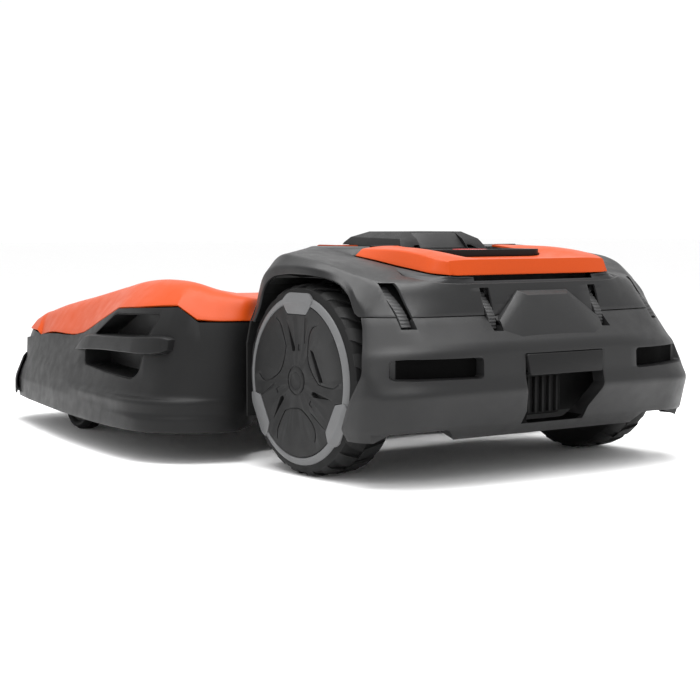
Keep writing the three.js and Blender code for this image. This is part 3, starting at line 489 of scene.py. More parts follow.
# ---- drive unit casing
# Half rows run from the rear centre, round the left side, to the front centre.
SEAM_Z = 304.8
BODY_LOWER = level(SEAM_Z, [
    (-247, 0), (-246, 124), (-237, 225), (-220, 303), (-192, 340), (-168, 362), (-153, 367)]) + [
    (-126, 369, 342), (-108, 373, 361), (-78, 380, 371), (-42, 389, 376), (0, 393, 377.5),
    (45, 393, 376), (86, 393, 369), (109, 393, 354), (121, 393, 336), (134, 392, 310), (154, 391, 283),
    (184, 376, 283), (206, 328, 283), (243, 222, 283), (266, 110, 283), (270, 0, 283)]
BODY_CREASE = [
    (-240, 0, 333), (-238, 124, 333), (-226, 222, 333), (-200, 293, 333), (-174, 328, 331),
    (-164, 359, 317), (-147, 365, 334), (-126, 362, 355), (-102, 363, 373),
    (-76, 374, 383.5), (-48, 387, 388.5), (-10, 393.5, 391.5), (40, 393.5, 391.5), (84, 392, 388),
    (110, 389, 380), (128, 386, 368), (148, 381, 343), (168, 374, 315), (186, 364, 310),
    (206, 325, 320), (243, 220, 325), (267, 110, 325), (272, 0, 325)]
BODY_SHOULDER = [
    (-234, 0, 352), (-231, 122, 352), (-219, 216, 352), (-190, 281, 358), (-164, 306, 364),
    (-140, 328, 368), (-124, 337, 374), (-106, 347, 380), (-86, 358, 388),
    (-60, 366, 396), (-30, 371, 403), (8, 372, 408), (42, 371, 412), (76, 369, 414),
    (102, 366, 409), (122, 363, 400), (142, 358, 388), (160, 350, 375), (178, 328, 372),
    (203, 300, 385), (240, 215, 392), (264, 110, 394), (269, 0, 394)]
BODY_TOP = [
    (-230, 0, 363), (-227, 120, 363), (-214, 210, 364), (-196, 243, 368), (-166, 249, 372),
    (-130, 249, 377), (-108, 244, 386), (-88, 236, 391), (-60, 235, 395),
    (-25, 235, 400), (10, 235, 404.5), (44, 235, 409), (70, 245, 417), (100, 262, 424),
    (124, 270, 425.5), (142, 262, 426), (158, 248, 426.5), (175, 225, 426.5), (195, 205, 426),
    (215, 185, 425), (240, 150, 424), (252, 80, 424), (255, 0, 424)]
LEDGE_STATIONS = 11
HATCH_HINGE = (47.2, 426)
HOUSE = [
    (190, 60), (190, 240), (176, 283), (150, 318), (134, 342), (116, 360), (90, 373), (45, 376),
    (0, 377.5), (-48, 376), (-94, 371), (-120, 356), (-134, 340), (-150, 317), (-172, 284),
    (-190, 250), (-203, 217), (-209, 60)]
SLOTS = {
    "inner": dict(foot=(-267, 136, 276), head=(-232, 136, 354), half=10.5),
    "outer": dict(foot=(-235, 311, 283), head=(-160, 308, 364), half=12.5)}


def hatch_well(inset, drop):
    out = []
    for i, (x, y, z) in enumerate(BODY_TOP):
        if i < LEDGE_STATIONS:
            out.append((x + 12 + inset, 0 if y == 0 else y - 9 - inset, z - 6 - drop))
            continue
        across = 1 - (i - LEDGE_STATIONS) / (len(BODY_TOP) - 1 - LEDGE_STATIONS)
        edge = max(0.0, 228 * across - (inset if across > 0 else 0))
        out.append((47 + inset, edge, min(424, 404 + (228 - edge) * 0.6) - drop))
    return out


def slot_bar(slot):
    """The room one strap needs through the casing and the bumper."""
    rings = []
    for x, y, z in (slot["foot"], slot["head"]):
        back, front, y0, y1 = x - 60, x + 24, y - slot["half"], y + slot["half"]
        rings.append([(back, y0, z), (back, y1, z), (front, y1, z), (front, y0, z)])
    return stacked("slot_tool", rings, DARK)


def slot_tools():
    return [tool for slot in SLOTS.values() for tool in both(slot_bar(slot))]


def body_rows():
    rows, index = [], None
    for half in (hatch_well(1, 16), hatch_well(0, 0), BODY_TOP, BODY_SHOULDER, BODY_CREASE, BODY_LOWER):
        row, index = closed_row(half)
        rows.append(row)
    return rows, index


def upper_body():
    rows, index = body_rows()
    corner_sets = [{LEDGE_STATIONS}] * 3 + [set(), {5}, {5, 17}]
    dense = [run(row, 4, True, {k for c in corners for k in index(c)})
             for row, corners in zip(rows, corner_sets)]
    rear = np.clip((-150 - dense[4][:, :1]) / 50, 0, 1)
    grid = rounded_stack(dense, [0, 2.5, 3.0, 6.0 + 22 * rear, 5.0 + 25 * rear, 0], steps=5,
                         bulges=[0, 0, -1.0 * (1 - rear), 0, 0])
    body = walled("body_shell", grid, 4.5, True, CASING)
    boss_room = swept("room", [(-125, 295), (-62.5, 347.5), (62.5, 347.5), (125, 295)], "x", -300, -238)
    console_room = block((40, -112, 400), (238, 112, 470))
    plate_room = block((38, -124, 400), (66, 124, 423))
    cover_room = block((188.4, -214.6, 400), (262.6, 214.6, 440))
    knuckle_rooms = both(block((43, 132, 420), (51, 188, 432)))
    carve(body, boss_room, console_room, plate_room, cover_room, *slot_tools(), *knuckle_rooms)
    lugs = [rod(f"left_hatch_lug_{k}", 2.7, low, high, "y", HATCH_HINGE, 20)
            for k, low, high in ((1, 132, 139), (2, 181, 188))]
    for lug in lugs:
        attach_sides(lug, "drive_unit", "charcoal_casing")
    soften(body, 1.1)
    attach(body, "drive_unit", "charcoal_casing", "upper_body")


def hatch_ledge():
    """The lip that closes the gap between the casing and the hatch's lower edge."""
    edge = [(-217, 0, 374), (-216.5, 98, 374), (-216, 150, 374), (-214, 187, 374), (-211, 199, 375),
            (-203, 209, 375.5), (-180, 225, 379), (-141, 228, 384), (-88, 229, 390.5),
            (-20, 229, 399.5), (30, 229, 405.5)]
    outer = [(-226, 0, 361), (-223, 120, 361), (-213, 198, 361.5), (-200, 230, 364), (-184, 240, 367),
             (-165, 245, 370), (-132, 245, 375), (-108, 241.5, 383), (-86, 234.5, 389.5),
             (-22, 233.5, 399.5), (32, 233.5, 406.5)]
    deep = [(x + 9, max(0, y - 9), z - 9) for x, y, z in edge]
    rows = [open_row(half, 5) for half in (outer, edge, deep)]
    grid = rounded_stack(rows, [0, 3, 0])
    ledge = walled("hatch_ledge", grid, 2.0, False, LEDGE, side=underside(grid))
    carve(ledge, block((-232, -150, 366), (-205, 150, 380)))
    soften(ledge, 0.8)
    attach(ledge, "drive_unit", "soft_black")


def nose_cover():
    rows, index = body_rows()
    dense = [run(row, 4, True, index(LEDGE_STATIONS)) for row in rows]
    grid = rounded_stack(dense, [0, 2.5, 3.0, 16.0, 7.0, 0], steps=5)
    cover = walled("front_cover_skin", grid + np.array([0, 0, 2.5]), 4.0, True, ORANGE)
    keep = block((189, -214, 400), (262, 214, 440), radius=10)
    carve(cover, keep, operation="INTERSECT")
    carve(cover, block((180, -112, 400), (238, 112, 470)))
    soften(cover, 1.6, 3)
    attach(cover, "drive_unit", "orange_cover", "front_cover")


BUMPER_ROWS = [
    level(303.0, [(-247, 0), (-246, 124), (-237, 225), (-220, 303), (-192, 340), (-168, 362),
                  (-154, 367)]),
    [(-298, 0, 257), (-294, 130, 257), (-281, 235, 256), (-254, 314, 254), (-226, 352, 252),
     (-200, 379, 250), (-190, 385, 250)],
    [(-303, 0, 244), (-300, 130, 244), (-289, 240, 242), (-262, 323, 240), (-232, 364, 238),
     (-206, 386, 236), (-196, 391, 236)],
    [(-305, 0, 193), (-302, 130, 193), (-292, 245, 193), (-267, 340, 192), (-242, 379, 192),
     (-223, 395, 200), (-208, 400, 205)],
    [(-311, 0, 168), (-309, 130, 168), (-300, 250, 168), (-277, 354, 168), (-250, 386, 167),
     (-222, 401, 168), (-172, 404, 150)],
    [(-272, 0, 106), (-271, 130, 106), (-268, 250, 106), (-258, 349, 105), (-236, 384, 104),
     (-208, 400, 104), (-152, 404, 104)],
    [(-250, 0, 82), (-250, 130, 82), (-249, 250, 82), (-243, 345, 83), (-226, 380, 84),
     (-204, 398, 84), (-170, 403, 84)]]


def bumper_wall(grid):
    """Thick at the back, thinning to the sides where the wheels are close."""
    blend = np.clip((np.abs(grid[:, :, 1:2]) - 366) / 24, 0, 1)
    return 30 + (7 - 30) * blend


def grip_tool():
    path = [((-330, 193), (-276, 193), 0.32), ((-330, 195), (-276, 195), 0.12),
            ((-330, 200), (-276, 200), 0), ((-330, 230), (-275, 230), 0), ((-330, 262), (-270, 262), 0),
            ((-312, 318), (-260, 300), 0), ((-296, 352), (-246, 326), 0),
            ((-278, 380), (-240, 350), 0.03), ((-271, 389), (-238, 358), 0.14),
            ((-269, 392), (-238, 361), 0.32)]
    rings = []
    for (xo, yo), (xi, yi), close in path:
        section = [(u, z + (213.5 - z) * close) for u, z in ((0, 190.5), (1, 197), (1, 231), (0, 236.5))]
        rings.append([(xo + (xi - xo) * u, yo + (yi - yo) * u, z) for u, z in section])
    return stacked("grip_tool", rings, DARK)


def paint_hollow_shade(bumper):
    """Paints shade into the grip slots and the charging bay: every bay wall, and the grip walls that face
    away from the rear or lie deep, take a near-black material.
    """
    bumper.data.materials.append(HOLLOW_SHADE)
    shade_slot = len(bumper.data.materials) - 1
    tables = [np.array(sorted((y, x) for x, y, _ in BUMPER_ROWS[k])) for k in (3, 2)]

    def surface(y, z):
        low, high = (np.interp(y, t[:, 0], t[:, 1]) for t in tables)
        return low + (high - low) * np.clip((z - 193) / 47, 0, 1)

    points = np.array([tuple(v.co) for v in bumper.data.vertices]) * 1000 - [AXLE * 1000, 0, 0]
    x, y, z = points[:, 0], np.abs(points[:, 1]), points[:, 2]
    depth = x - surface(y, z)
    grip = (z > 188) & (z < 239) & (y > 190) & (y < 394) & (depth > 1)
    bay = (z > 101) & (z < 237.5) & (y < 99.5) & (x > -296)
    for face in bumper.data.polygons:
        ids = list(face.vertices)
        # painted shade: the bay walls, and the grip walls that face away from the rear or lie deep, take the
        # near-black look instead of the casing's colour
        if bay[ids].all():
            face.material_index = shade_slot
        elif grip[ids].all():
            mid = y[ids].mean()
            slope = (surface(mid + 4, 213) - surface(mid - 4, 213)) / 8
            facing = (slope * abs(face.normal.y) * math.copysign(1, face.normal.y * face.center.y)
                      - face.normal.x) / math.hypot(1, slope)
            if facing < 0.75 or (depth[ids] > 5).all():
                face.material_index = shade_slot


def arch_liners():
    """The two arch liners, drawn in at the back so they stay behind the casing's tapered corners."""
    along = [-215, -192, -153, -126, -108, -78, -42, 0]
    reach = [278, 308, 334, 336, 340, 352, 368, 384]
    for side in ("left", "right"):
        node = frame["nodes"][f"{side}_wheel_liner"]
        mesh = node.data.copy()
        mesh.transform(node.matrix_world)
        for vertex in mesh.vertices:
            limit = np.interp((vertex.co.x - AXLE) * 1000, along, reach) / 1000
            vertex.co.y = max(-limit, min(limit, vertex.co.y))
        liner = linked(f"{side}_arch_liner", mesh)
        mesh.materials.clear()
        mesh.materials.append(DARK)
        attach(liner, "drive_unit", "soft_black", f"{side}_wheel_liner")


def rear_bumper():
    dense = [open_row(half, 5) for half in BUMPER_ROWS]
    grid = rounded_stack(dense, [0, 12, 12, 10, 9, 5, 0], steps=5)
    bumper = walled("bumper_shell", grid, bumper_wall, False, CASING)
    under = both(swept("under", [(412, 40), (412, 99), (330, 102), (250, 103), (244, 101), (226, 84),
                                 (222, 76), (222, 40)], "x", -330, -222))
    house = both(swept("house", HOUSE, "y", 200, 393))
    front = block((-204, -256, 60), (0, 256, 320))
    bay = swept("bay", round_outline([(-66, 103), (66, 103), (98, 168), (98, 236), (-98, 236), (-98, 168)],
                                     [9, 9, 12, 3, 3, 12]), "x", -330, -200)
    carve(bumper, front, *house, *under, bay, *both(grip_tool()), *slot_tools())
    soften(bumper, 2.4, 3, 34)
    # paints shade into the grip slots and the charging bay
    paint_hollow_shade(bumper)
    attach(bumper, "drive_unit", "charcoal_casing", "rear_bumper")
    boss = stacked("bumper_boss", [
        [(-222, -136.5, 285), (-222, 136.5, 285), (-222, 62, 347), (-222, -62, 347)],
        [(-266, -136.5, 285), (-266, 136.5, 285), (-239, 62, 347), (-239, -62, 347)],
        [(-289.5, -93, 261), (-289.5, 93, 261), (-254, 50, 339), (-254, -50, 339)]], CASING)
    carve(boss, *both(slot_bar(SLOTS["inner"])))
    soften(boss, 5.0, 4, 20)
    attach(boss, "drive_unit", "charcoal_casing", "rear_bumper")
    plate = stacked("bumper_plate_panel", [
        [(-300, y, z) for y, z in round_outline([(-97, 234.5), (97, 234.5), (91, 195), (-91, 195)], 4)],
        [(-306.6 - (235 - z) * 0.09, y, z)
         for y, z in round_outline([(-96, 233.8), (96, 233.8), (90.5, 195.6), (-90.5, 195.6)], 4)]], SOFT)
    soften(plate, 1.0)
    attach(plate, "drive_unit", "soft_black", "bumper_plate")


def charging_block():
    outline = round_outline([(-52, 112), (52, 112), (52, 190), (-52, 190)], [12, 12, 4, 4])
    body = swept("charging_block", outline, "x", -236, -204)
    soften(body, 3.0, 3)
    attach(body, "drive_unit", "soft_black", "charging_socket")
    for k, y in enumerate((-36, -18, 0, 18, 36)):
        rib = block((-244, y - 2.6, 117), (-234, y + 2.6, 184), f"charging_rib_{k + 1}", DARK, 1.5)
        soften(rib, 1.0)
        attach(rib, "drive_unit", "soft_black")


def straps():
    for name, slot in SLOTS.items():
        rings, steps = [], 44
        width = slot["half"] - 2.0
        foot, head = np.array(slot["foot"], float), np.array(slot["head"], float)
        for i in range(steps + 1):
            t = i / steps
            base = foot + (head - foot) * t
            bow = math.sin(min(1, t * 1.15) * math.pi) * 9
            rib = 1.1 if i % 4 in (1, 2) else 0.0
            x = base[0] + 13 - bow - rib
            z = foot[2] + 3 + (head[2] - foot[2] - 12) * t
            front, left, right = x + 6 + rib, base[1] + width, base[1] - width
            rings.append([(x, right, z), (x, left, z), (front, left, z + 1.5), (front, right, z + 1.5)])
        strap = stacked(f"left_{name}_strap_band", rings, RUBBER, 30)
        soften(strap, 0.5, 1, 50, 30)
        attach_sides(strap, "drive_unit", "tyre_rubber", f"{{}}_{name}_strap")


# ---- hatch and console
CONSOLE_PLATE = [(64, 112), (40, 122), (-96, 122), (-114, 104)]


def console_outline(grow):
    left = [(x - grow if x < 0 else x + grow, y + grow) for x, y in CONSOLE_PLATE]
    return left + [(x, -y) for x, y in reversed(left)]


def hatch_lobe(x):
    return 429.5 - 21 * max(0.0, (-x - 30) / 175) ** 2


def hatch_middle(x):
    return min(hatch_lobe(x), 412 + 0.04 * x + ((x + 90) * 0.1 if x > -90 else 0))


def hatch():
    stations = [(44, 226, 409.5), (-20, 226, 402), (-87, 226, 393), (-140, 225, 386.5),
                (-178, 222, 381.5)]
    across = []
    for x, edge, low in stations:
        mid, lobe = hatch_middle(x), hatch_lobe(x)
        across.append([(x, 0, mid), (x, 105, mid), (x, (edge + 105) / 2, lobe - 2),
                       (x, edge - 16, lobe - 7), (x, edge, low)])
    across += [
        [(-205, 0, 405), (-204.5, 98, 405), (-203, 155, 405), (-200, 197, 403), (-208, 201, 378)],
        [(-214, 0, 377), (-213.5, 98, 377), (-213, 150, 377), (-211, 186, 377), (-209, 193, 377.5)]]
    dense = [run(column, 7, False, {5}) for column in mirrored_columns(across)]
    grid = rounded_stack(dense, [0, 4, 22, 26, 40, 26, 22, 4, 0], steps=6, fills=3)
    skin = walled("hatch_skin", grid, 3.6, False, ORANGE, side=underside(grid))
    room = swept("room", round_outline(console_outline(1.6), 6), "z", 380, 470)
    carve(skin, room)
    soften(skin, 1.5, 3, 30)
    attach(skin, "hatch", "orange_cover", "hatch_cover")
    profile = [(1.8, 139.5), (2.8, 139.5), (2.8, 180.5), (1.8, 180.5)]
    knuckle = revolved("left_hatch_knuckle", profile, "y", HATCH_HINGE, DARK, 24)
    attach_sides(knuckle, "hatch", "orange_cover")


def console():
    plate = swept("console_frame", round_outline(console_outline(0), [3, 10, 14, 14, 14, 14, 10, 3]), "z",
                  409, 421, SOFT)
    well = swept("room", round_outline([(-90, -96), (28, -96), (28, 96), (-90, 96)], 12), "z", 412.4, 430)
    carve(plate, well, rod("room", 19, 400, 416, "z", (-30, 0), 40))
    soften(plate, 3.6, 4, 30)
    attach(plate, "drive_unit", "soft_black", "console_housing")
    legs = [((-100, 104, 384.4), (28, 112, 411)), ((-100, -112, 384.4), (28, -104, 411)),
            ((-100, -106, 384.4), (-92, 106, 411))]
    for k, (low, high) in enumerate(legs):
        attach(block(low, high, f"console_leg_{k + 1}", SOFT, 2), "drive_unit", "soft_black")
    rings = [
        [(41, -111, 414), (262, -98, 427.3), (262, 98, 427.3), (41, 111, 414)],
        [(50, -109.5, 424), (258, -97, 432), (258, 97, 432), (50, 109.5, 424)],
        [(64, -102, 440), (241, -92, 443), (241, 92, 443), (64, 102, 440)],
        [(90, -78, 454.4), (206, -70, 454.4), (206, 70, 454.4), (90, 78, 454.4)]]
    hump = stacked("console_hump", rings, SOFT)
    below = block((238, -120, 400), (270, 120, 427.2))
    panel_room = tapered("room", (40, 62, -61, 61, 417), (84, 104, -57.5, 57.5, 462))
    pockets = [tapered("room", (40, 64, s * 62, s * 90, 419), (58, 70, s * 62, s * 66, 431))
               for s in (1, -1)]
    hollow = block((96, -62, 420), (206, 62, 448))
    carve(hump, below, panel_room, *pockets, hollow)
    soften(hump, 8.0, 5, 24)
    attach(hump, "drive_unit", "soft_black")
    panel = stacked("console_back_panel", [
        [(54, y, 421.6) for y in (-60, 60)] + [(63.4, y, 421.6) for y in (60, -60)],
        [(84.6, y, 452.2) for y in (-57, 57)] + [(93, y, 452.2) for y in (57, -57)]], CASING)
    soften(panel, 1.6, 3)
    attach(panel, "drive_unit", "charcoal_casing", "console_panel")


# ---- wheels
def polar(radius, degrees, y):
    a = math.radians(degrees)
    return (radius * math.cos(a), y, WHEEL_R + radius * math.sin(a))


def wheel_tyre():
    half = [(132, 289), (141, 287.2), (152, 286.6), (164, 288), (172, 292.5), (175.2, 300), (175.6, 325)]
    profile = half + [(radius, 676 - y) for radius, y in reversed(half)]
    core = revolved("left_tyre_core", profile, "y", (0, WHEEL_R), TYRE, 120, 50)
    sections = ((0.0, 179.8, 5.2), (0.4, 180.0, 5.0), (0.72, 179.0, 4.6), (0.9, 176.4, 4.2),
                (1.0, 172.0, 3.6))
    lugs, count = [], 22
    for k in range(count):
        for side in (1, -1):
            middle = 360 / count * (k + (0.5 if side < 0 else 0.0))
            rings = []
            for u, radius, span in sections:
                y = 338 + side * (1.5 + u * 45)
                turn = middle + 6.0 * (1 - u)
                low = radius - 7
                rings.append([polar(low, turn - span, y), polar(radius, turn - span, y),
                              polar(radius, turn + span, y), polar(low, turn + span, y)])
            lugs.append(stacked("lug", rings, TYRE, 30))
    return merged("left_tyre_tread", [core] + lugs)


def merged(name, parts):
    mesh = bpy.data.meshes.new(name)
    work = bmesh.new()
    for part in parts:
        work.from_mesh(part.data)
    work.to_mesh(mesh)
    work.free()
    for look in parts[0].data.materials:
        mesh.materials.append(look)
    for part in parts:
        bpy.data.objects.remove(part)
    obj = linked(name, mesh)
    shade(obj, 34)
    return obj


def about_axle(obj, degrees):
    centre = Vector((AXLE, 0, WHEEL_R / 1000))
    turn = Matrix.Rotation(math.radians(degrees), 4, "Y")
    obj.data.transform(Matrix.Translation(centre) @ turn @ Matrix.Translation(-centre))
    return obj


def flat_on_wheel(outline, low, high):
    """A tool from an outline in the wheel's plane (forward, up from the axle), deep along the axle."""
    return swept("wheel_tool", [(x, WHEEL_R + z) for x, z in outline], "y", low, high)


def tab_outline(grow):
    right = [(30 + grow, 123.6 - grow), (43 + grow, 139), (48 + grow, 148 + grow), (34 + grow, 163 + grow)]
    left = [(-x, z) for x, z in reversed(right)]
    return left[1:] + right + left[:1]


def wheel_ring():
    profile = [(141, 382), (145, 393.6), (146.2, 395.4), (148, 395.6), (157.4, 391), (158.7, 389.4),
               (158.7, 382)]
    ring = revolved("left_ring_band", profile, "y", (0, WHEEL_R), RING, 144)
    outline = round_outline(tab_outline(0), [5, 8, 3, 3, 8, 5, 12, 12])
    ends = [[(x, 383, WHEEL_R + z) for x, z in outline],
            [(x, 395.8 - max(0.0, (z - 148) * 0.32), WHEEL_R + z) for x, z in outline]]
    tabs = [about_axle(stacked("tab", ends, RING), -turn) for turn in WHEEL_TURNS]
    carve(ring, *tabs, operation="UNION")
    soften(ring, 0.9, 2, 34)
    return ring


def ribbon(path, width, low, high):
    """A bent bar of even width in the wheel's plane."""
    path = np.array(path, float)
    along = np.gradient(path, axis=0)
    side = np.stack([-along[:, 1], along[:, 0]], 1)
    side /= np.linalg.norm(side, axis=1, keepdims=True)
    left, right = path + side * width / 2, path - side * width / 2
    return flat_on_wheel([tuple(q) for q in left] + [tuple(q) for q in right[::-1]], low, high)


def wheel_cover():
    profile = [(0.01, 380), (144.4, 380), (144.4, 393), (142.6, 394.6), (118, 395.4), (60, 396.2),
               (30, 396.4), (0.01, 396.4)]
    cover = revolved("left_cover_face", profile, "y", (0, WHEEL_R), COVER, 144)
    bend = np.array([(68, 114), (55, 106), (44, 88), (33, 62), (38, 42), (54, 13), (66, 5), (113, -5),
                     (125, 5)], float)
    bend = run(bend, 5, False, {3})
    room = round_outline(tab_outline(1.3), [5, 8, 3, 3, 8, 5, 4, 4])
    wedge = round_outline([(29, 106), (3.5, 62), (4.5, 53), (12.5, 54)], [0.4, 2, 2, 2], 2)
    window = round_outline([(-6, 68), (-16, 68), (-16, 56), (-6, 56)], 1.5, 2)
    tools = []
    for turn in WHEEL_TURNS:
        cuts = [flat_on_wheel(room, 370, 404), ribbon(bend, 2.4, 393.6, 404),
                flat_on_wheel(wedge, 386, 404),
                ribbon([(-27.5, 119), (-27.5, 96), (-26.5, 70)], 1.5, 394.2, 404),
                flat_on_wheel(window, 394.6, 404)]
        tools += [about_axle(cut, -turn) for cut in cuts]
    bar = round_outline([(-44, 60), (-54, 57), (-85, 2), (-74, 0)], [3, 3, 3, 3], 3)
    tools.append(flat_on_wheel(bar, 386, 404))
    ring = revolved("groove", [(25, 395), (27.4, 395), (27.4, 404), (25, 404)], "y", (0, WHEEL_R), DARK, 64)
    carve(cover, *tools, ring)
    soften(cover, 0.8, 2, 34)
    return cover


def wheel_hub():
    profile = [(0.01, 392), (24.2, 392), (24.2, 397.2), (22.4, 398.4), (17, 398.4), (15.4, 397.2),
               (0.01, 397.8)]
    return revolved("left_hub_cap", profile, "y", (0, WHEEL_R), COVER, 72)


def wheels():
    pieces = [(wheel_tyre(), "tyre_rubber", "{}_tyre"), (wheel_ring(), "ring_grey", "{}_wheel_ring"),
              (wheel_cover(), "wheel_cover", "{}_wheel_cover"), (wheel_hub(), "wheel_cover", None)]
    for obj, slot, node in pieces:
        attach_sides(obj, "{}_drive_wheel", slot, node)


# ---- cutting deck
DECK_HEM = [
    (322, 0, 66), (322, 240, 66), (300, 292, 66), (262, 322, 66), (228, 350, 64), (217, 392, 62),
    (226, 440, 62), (248, 490, 62), (290, 530, 62), (352, 550, 62), (479, 545, 62), (600, 530, 62),
    (720, 511, 62), (890, 477, 62), (1056, 442, 62), (1130, 424, 62), (1168, 404, 64), (1196, 350, 66),
    (1208, 230, 66), (1214, 100, 66), (1215, 0, 66)]
DECK_LOWER = level(105, [
    (321, 0), (321, 240), (299, 291), (261, 321), (229, 350), (219, 392), (228, 438), (250, 487),
    (292, 526), (354, 546), (480, 541), (600, 527), (720, 508), (890, 475)]) + [
    (1058, 440, 104), (1140, 420, 104), (1180, 402, 103), (1206, 350, 103), (1218, 230, 103),
    (1224, 100, 103), (1225, 0, 103)]
DECK_MIDDLE = level(150, [
    (320, 0), (320, 240), (298, 290), (260, 320), (230, 350), (222, 390), (232, 432), (258, 476),
    (304, 510), (362, 520), (480, 524), (600, 512), (720, 496), (890, 466), (1040, 432), (1104, 414),
    (1142, 398), (1168, 348), (1180, 230), (1186, 100), (1187, 0)])
DECK_EDGE = [
    (318, 0, 272), (318, 240, 272), (296, 288, 272), (258, 316, 273), (228, 342, 274), (222, 372, 276),
    (230, 410, 277), (262, 448, 277), (300, 470, 306), (365, 496, 303), (430, 500, 300), (500, 495, 296),
    (600, 484, 265), (700, 471, 235), (930, 438, 220), (1036, 420, 209), (1112, 406, 200),
    (1144, 352, 196), (1155, 225, 196), (1161, 100, 196), (1162, 0, 196)]
DISC_PLACES = [(600, 322), (720, 0), (600, -322)]
CASTER_X, CASTER_Y = 925, 366
HALF_WIDTH, FRONT_END = 549.6, 1223
HANDLE_POCKET = [(652, 208), (604, 243), (512, 288), (335, 292), (362, 243), (370, 208), (376, 172),
                 (398, 158), (640, 172)]


def pocket_outline(margin):
    out = []
    for x, z in HANDLE_POCKET:
        reach = math.hypot(x - 495, z - 225)
        out.append((x + (495 - x) * margin / reach, z + (225 - z) * margin / reach))
    return round_outline(out, [6, 4, 14, 10, 4, 4, 12, 12, 12], 4)


def ridged_rows():
    """The skirt's rows from its top edge to its hem, with two low ridges round the rear corner."""
    def between(low, high, base, ridge, z, first, last):
        out = []
        for i, (a, b) in enumerate(zip(low, high)):
            t = ridge if first <= i <= last else base
            out.append((a[0] + (b[0] - a[0]) * t, a[1] + (b[1] - a[1]) * t, z))
        return out

    def drawn_in(row):
        """The front end a little shorter and its corners a little narrower."""
        return [(x - (5 if i >= 15 else 0), y - (2 if i in (14, 15, 16) else 0), z)
                for i, (x, y, z) in enumerate(row)]

    middle, lower, hem = drawn_in(DECK_MIDDLE), drawn_in(DECK_LOWER), drawn_in(DECK_HEM)
    hem = [(x, y, 70 if i <= 4 else z) for i, (x, y, z) in enumerate(hem)]
    return [DECK_EDGE, middle,
            between(middle, lower, 0.42, 0.30, 131, 5, 11), between(middle, lower, 0.64, 1.04, 122, 5, 11),
            lower, between(lower, hem, 0.23, -0.1, 96, 6, 9), between(lower, hem, 0.4, 1.0, 88, 6, 9), hem]


def deck_skirt():
    marks = [{7, 8, 11, 16}, {16}, {15}, {15}, {15}, {15}, {15}, {4, 5, 15}]
    dense = []
    for half, corners in zip(ridged_rows(), marks):
        row, index = closed_row(half)
        dense.append(run(row, 4, True, {k for c in corners for k in index(c)}))
    grid = rounded_stack(dense, [0, 34, 7, 7, 10, 5, 5, 0], steps=5)
    grid[:, :, 1] = np.clip(grid[:, :, 1], -HALF_WIDTH, HALF_WIDTH)
    grid[:, :, 0] = np.minimum(grid[:, :, 0], FRONT_END)
    skirt = walled("deck_skirt", grid, 5.5, True, DECK_LOOK)
    carve(skirt, *both(swept("pocket", pocket_outline(0), "y", 425, 570)))
    soften(skirt, 2.0, 3, 34)
    attach(skirt, "cutting_deck", "charcoal_casing", "left_deck_skirt", "right_deck_skirt")


def deck_floor():
    half = []
    for a, b in zip(DECK_EDGE, DECK_MIDDLE):
        x, y = (a[0] + b[0]) / 2, (a[1] + b[1]) / 2
        shift = 7 if x < 330 else (-14 if x > 1080 else 0)
        half.append((x + shift, max(0.0, y - 7)))
    outline = half + [(x, -y) for x, y in reversed(half) if y > 0.01]
    floor = swept("deck_inner_floor", outline, "z", 186, 191, DECK_LOOK)
    bores = [rod("room", 96, 170, 200, "z", place, 64) for place in DISC_PLACES]
    bores += [rod("room", 21.8, 170, 200, "z", (CASTER_X, s * CASTER_Y), 32) for s in (1, -1)]
    cups = both(swept("room", pocket_outline(-1), "y", 432, 560))
    carve(floor, *bores, *cups)
    attach(floor, "cutting_deck", "charcoal_casing", "deck_floor")
    for k, x in enumerate((445, 880)):
        rib = block((x, -380, 166), (x + 5, 380, 187), f"floor_rib_{k + 1}", DECK_LOOK)
        soften(rib, 1.0)
        attach(rib, "cutting_deck", "charcoal_casing")
    boss_profile = [(11.5, 176), (20, 176), (22, 180), (22, 208), (18, 212), (0.01, 212), (0.01, 206),
                    (11.5, 206)]
    guide_profile = [(0.01, 100), (7, 100), (8, 101.5), (8, 188), (0.01, 188)]
    for side, s in (("left", 1), ("right", -1)):
        boss = revolved(f"{side}_caster_boss", boss_profile, "z", (CASTER_X, s * CASTER_Y), DECK_LOOK, 48)
        attach(boss, "cutting_deck", "charcoal_casing", "deck_floor")
        guide = revolved(f"{side}_lift_guide", guide_profile, "z", (585, s * 130), STEEL, 32)
        attach(guide, "cutting_deck", "charcoal_casing", "deck_floor")


def nose_guard():
    rows = [
        level(161, [(1178, 0), (1175, 100), (1169, 230), (1157, 350), (1142, 388), (1131, 398)]),
        level(152, [(1187, 0), (1186, 100), (1180, 230), (1168, 350), (1149, 396), (1136, 401.5)]),
        level(103, [(1224, 0), (1223, 100), (1217, 230), (1205, 352), (1177, 402), (1128, 426)]),
        level(67, [(1215, 0), (1214, 100), (1208, 230), (1197, 352), (1169, 406), (1122, 428.5)])]
    dense = [open_row(half, 6) for half in rows]
    grid = rounded_stack(dense, [0, 4, 12, 0])
    grid[:, :, 0] = np.minimum(grid[:, :, 0], FRONT_END)
    guard = walled("nose_guard", grid, 3.6, False, SOFT)
    soften(guard, 1.4, 3, 34)
    attach(guard, "cutting_deck", "soft_black")


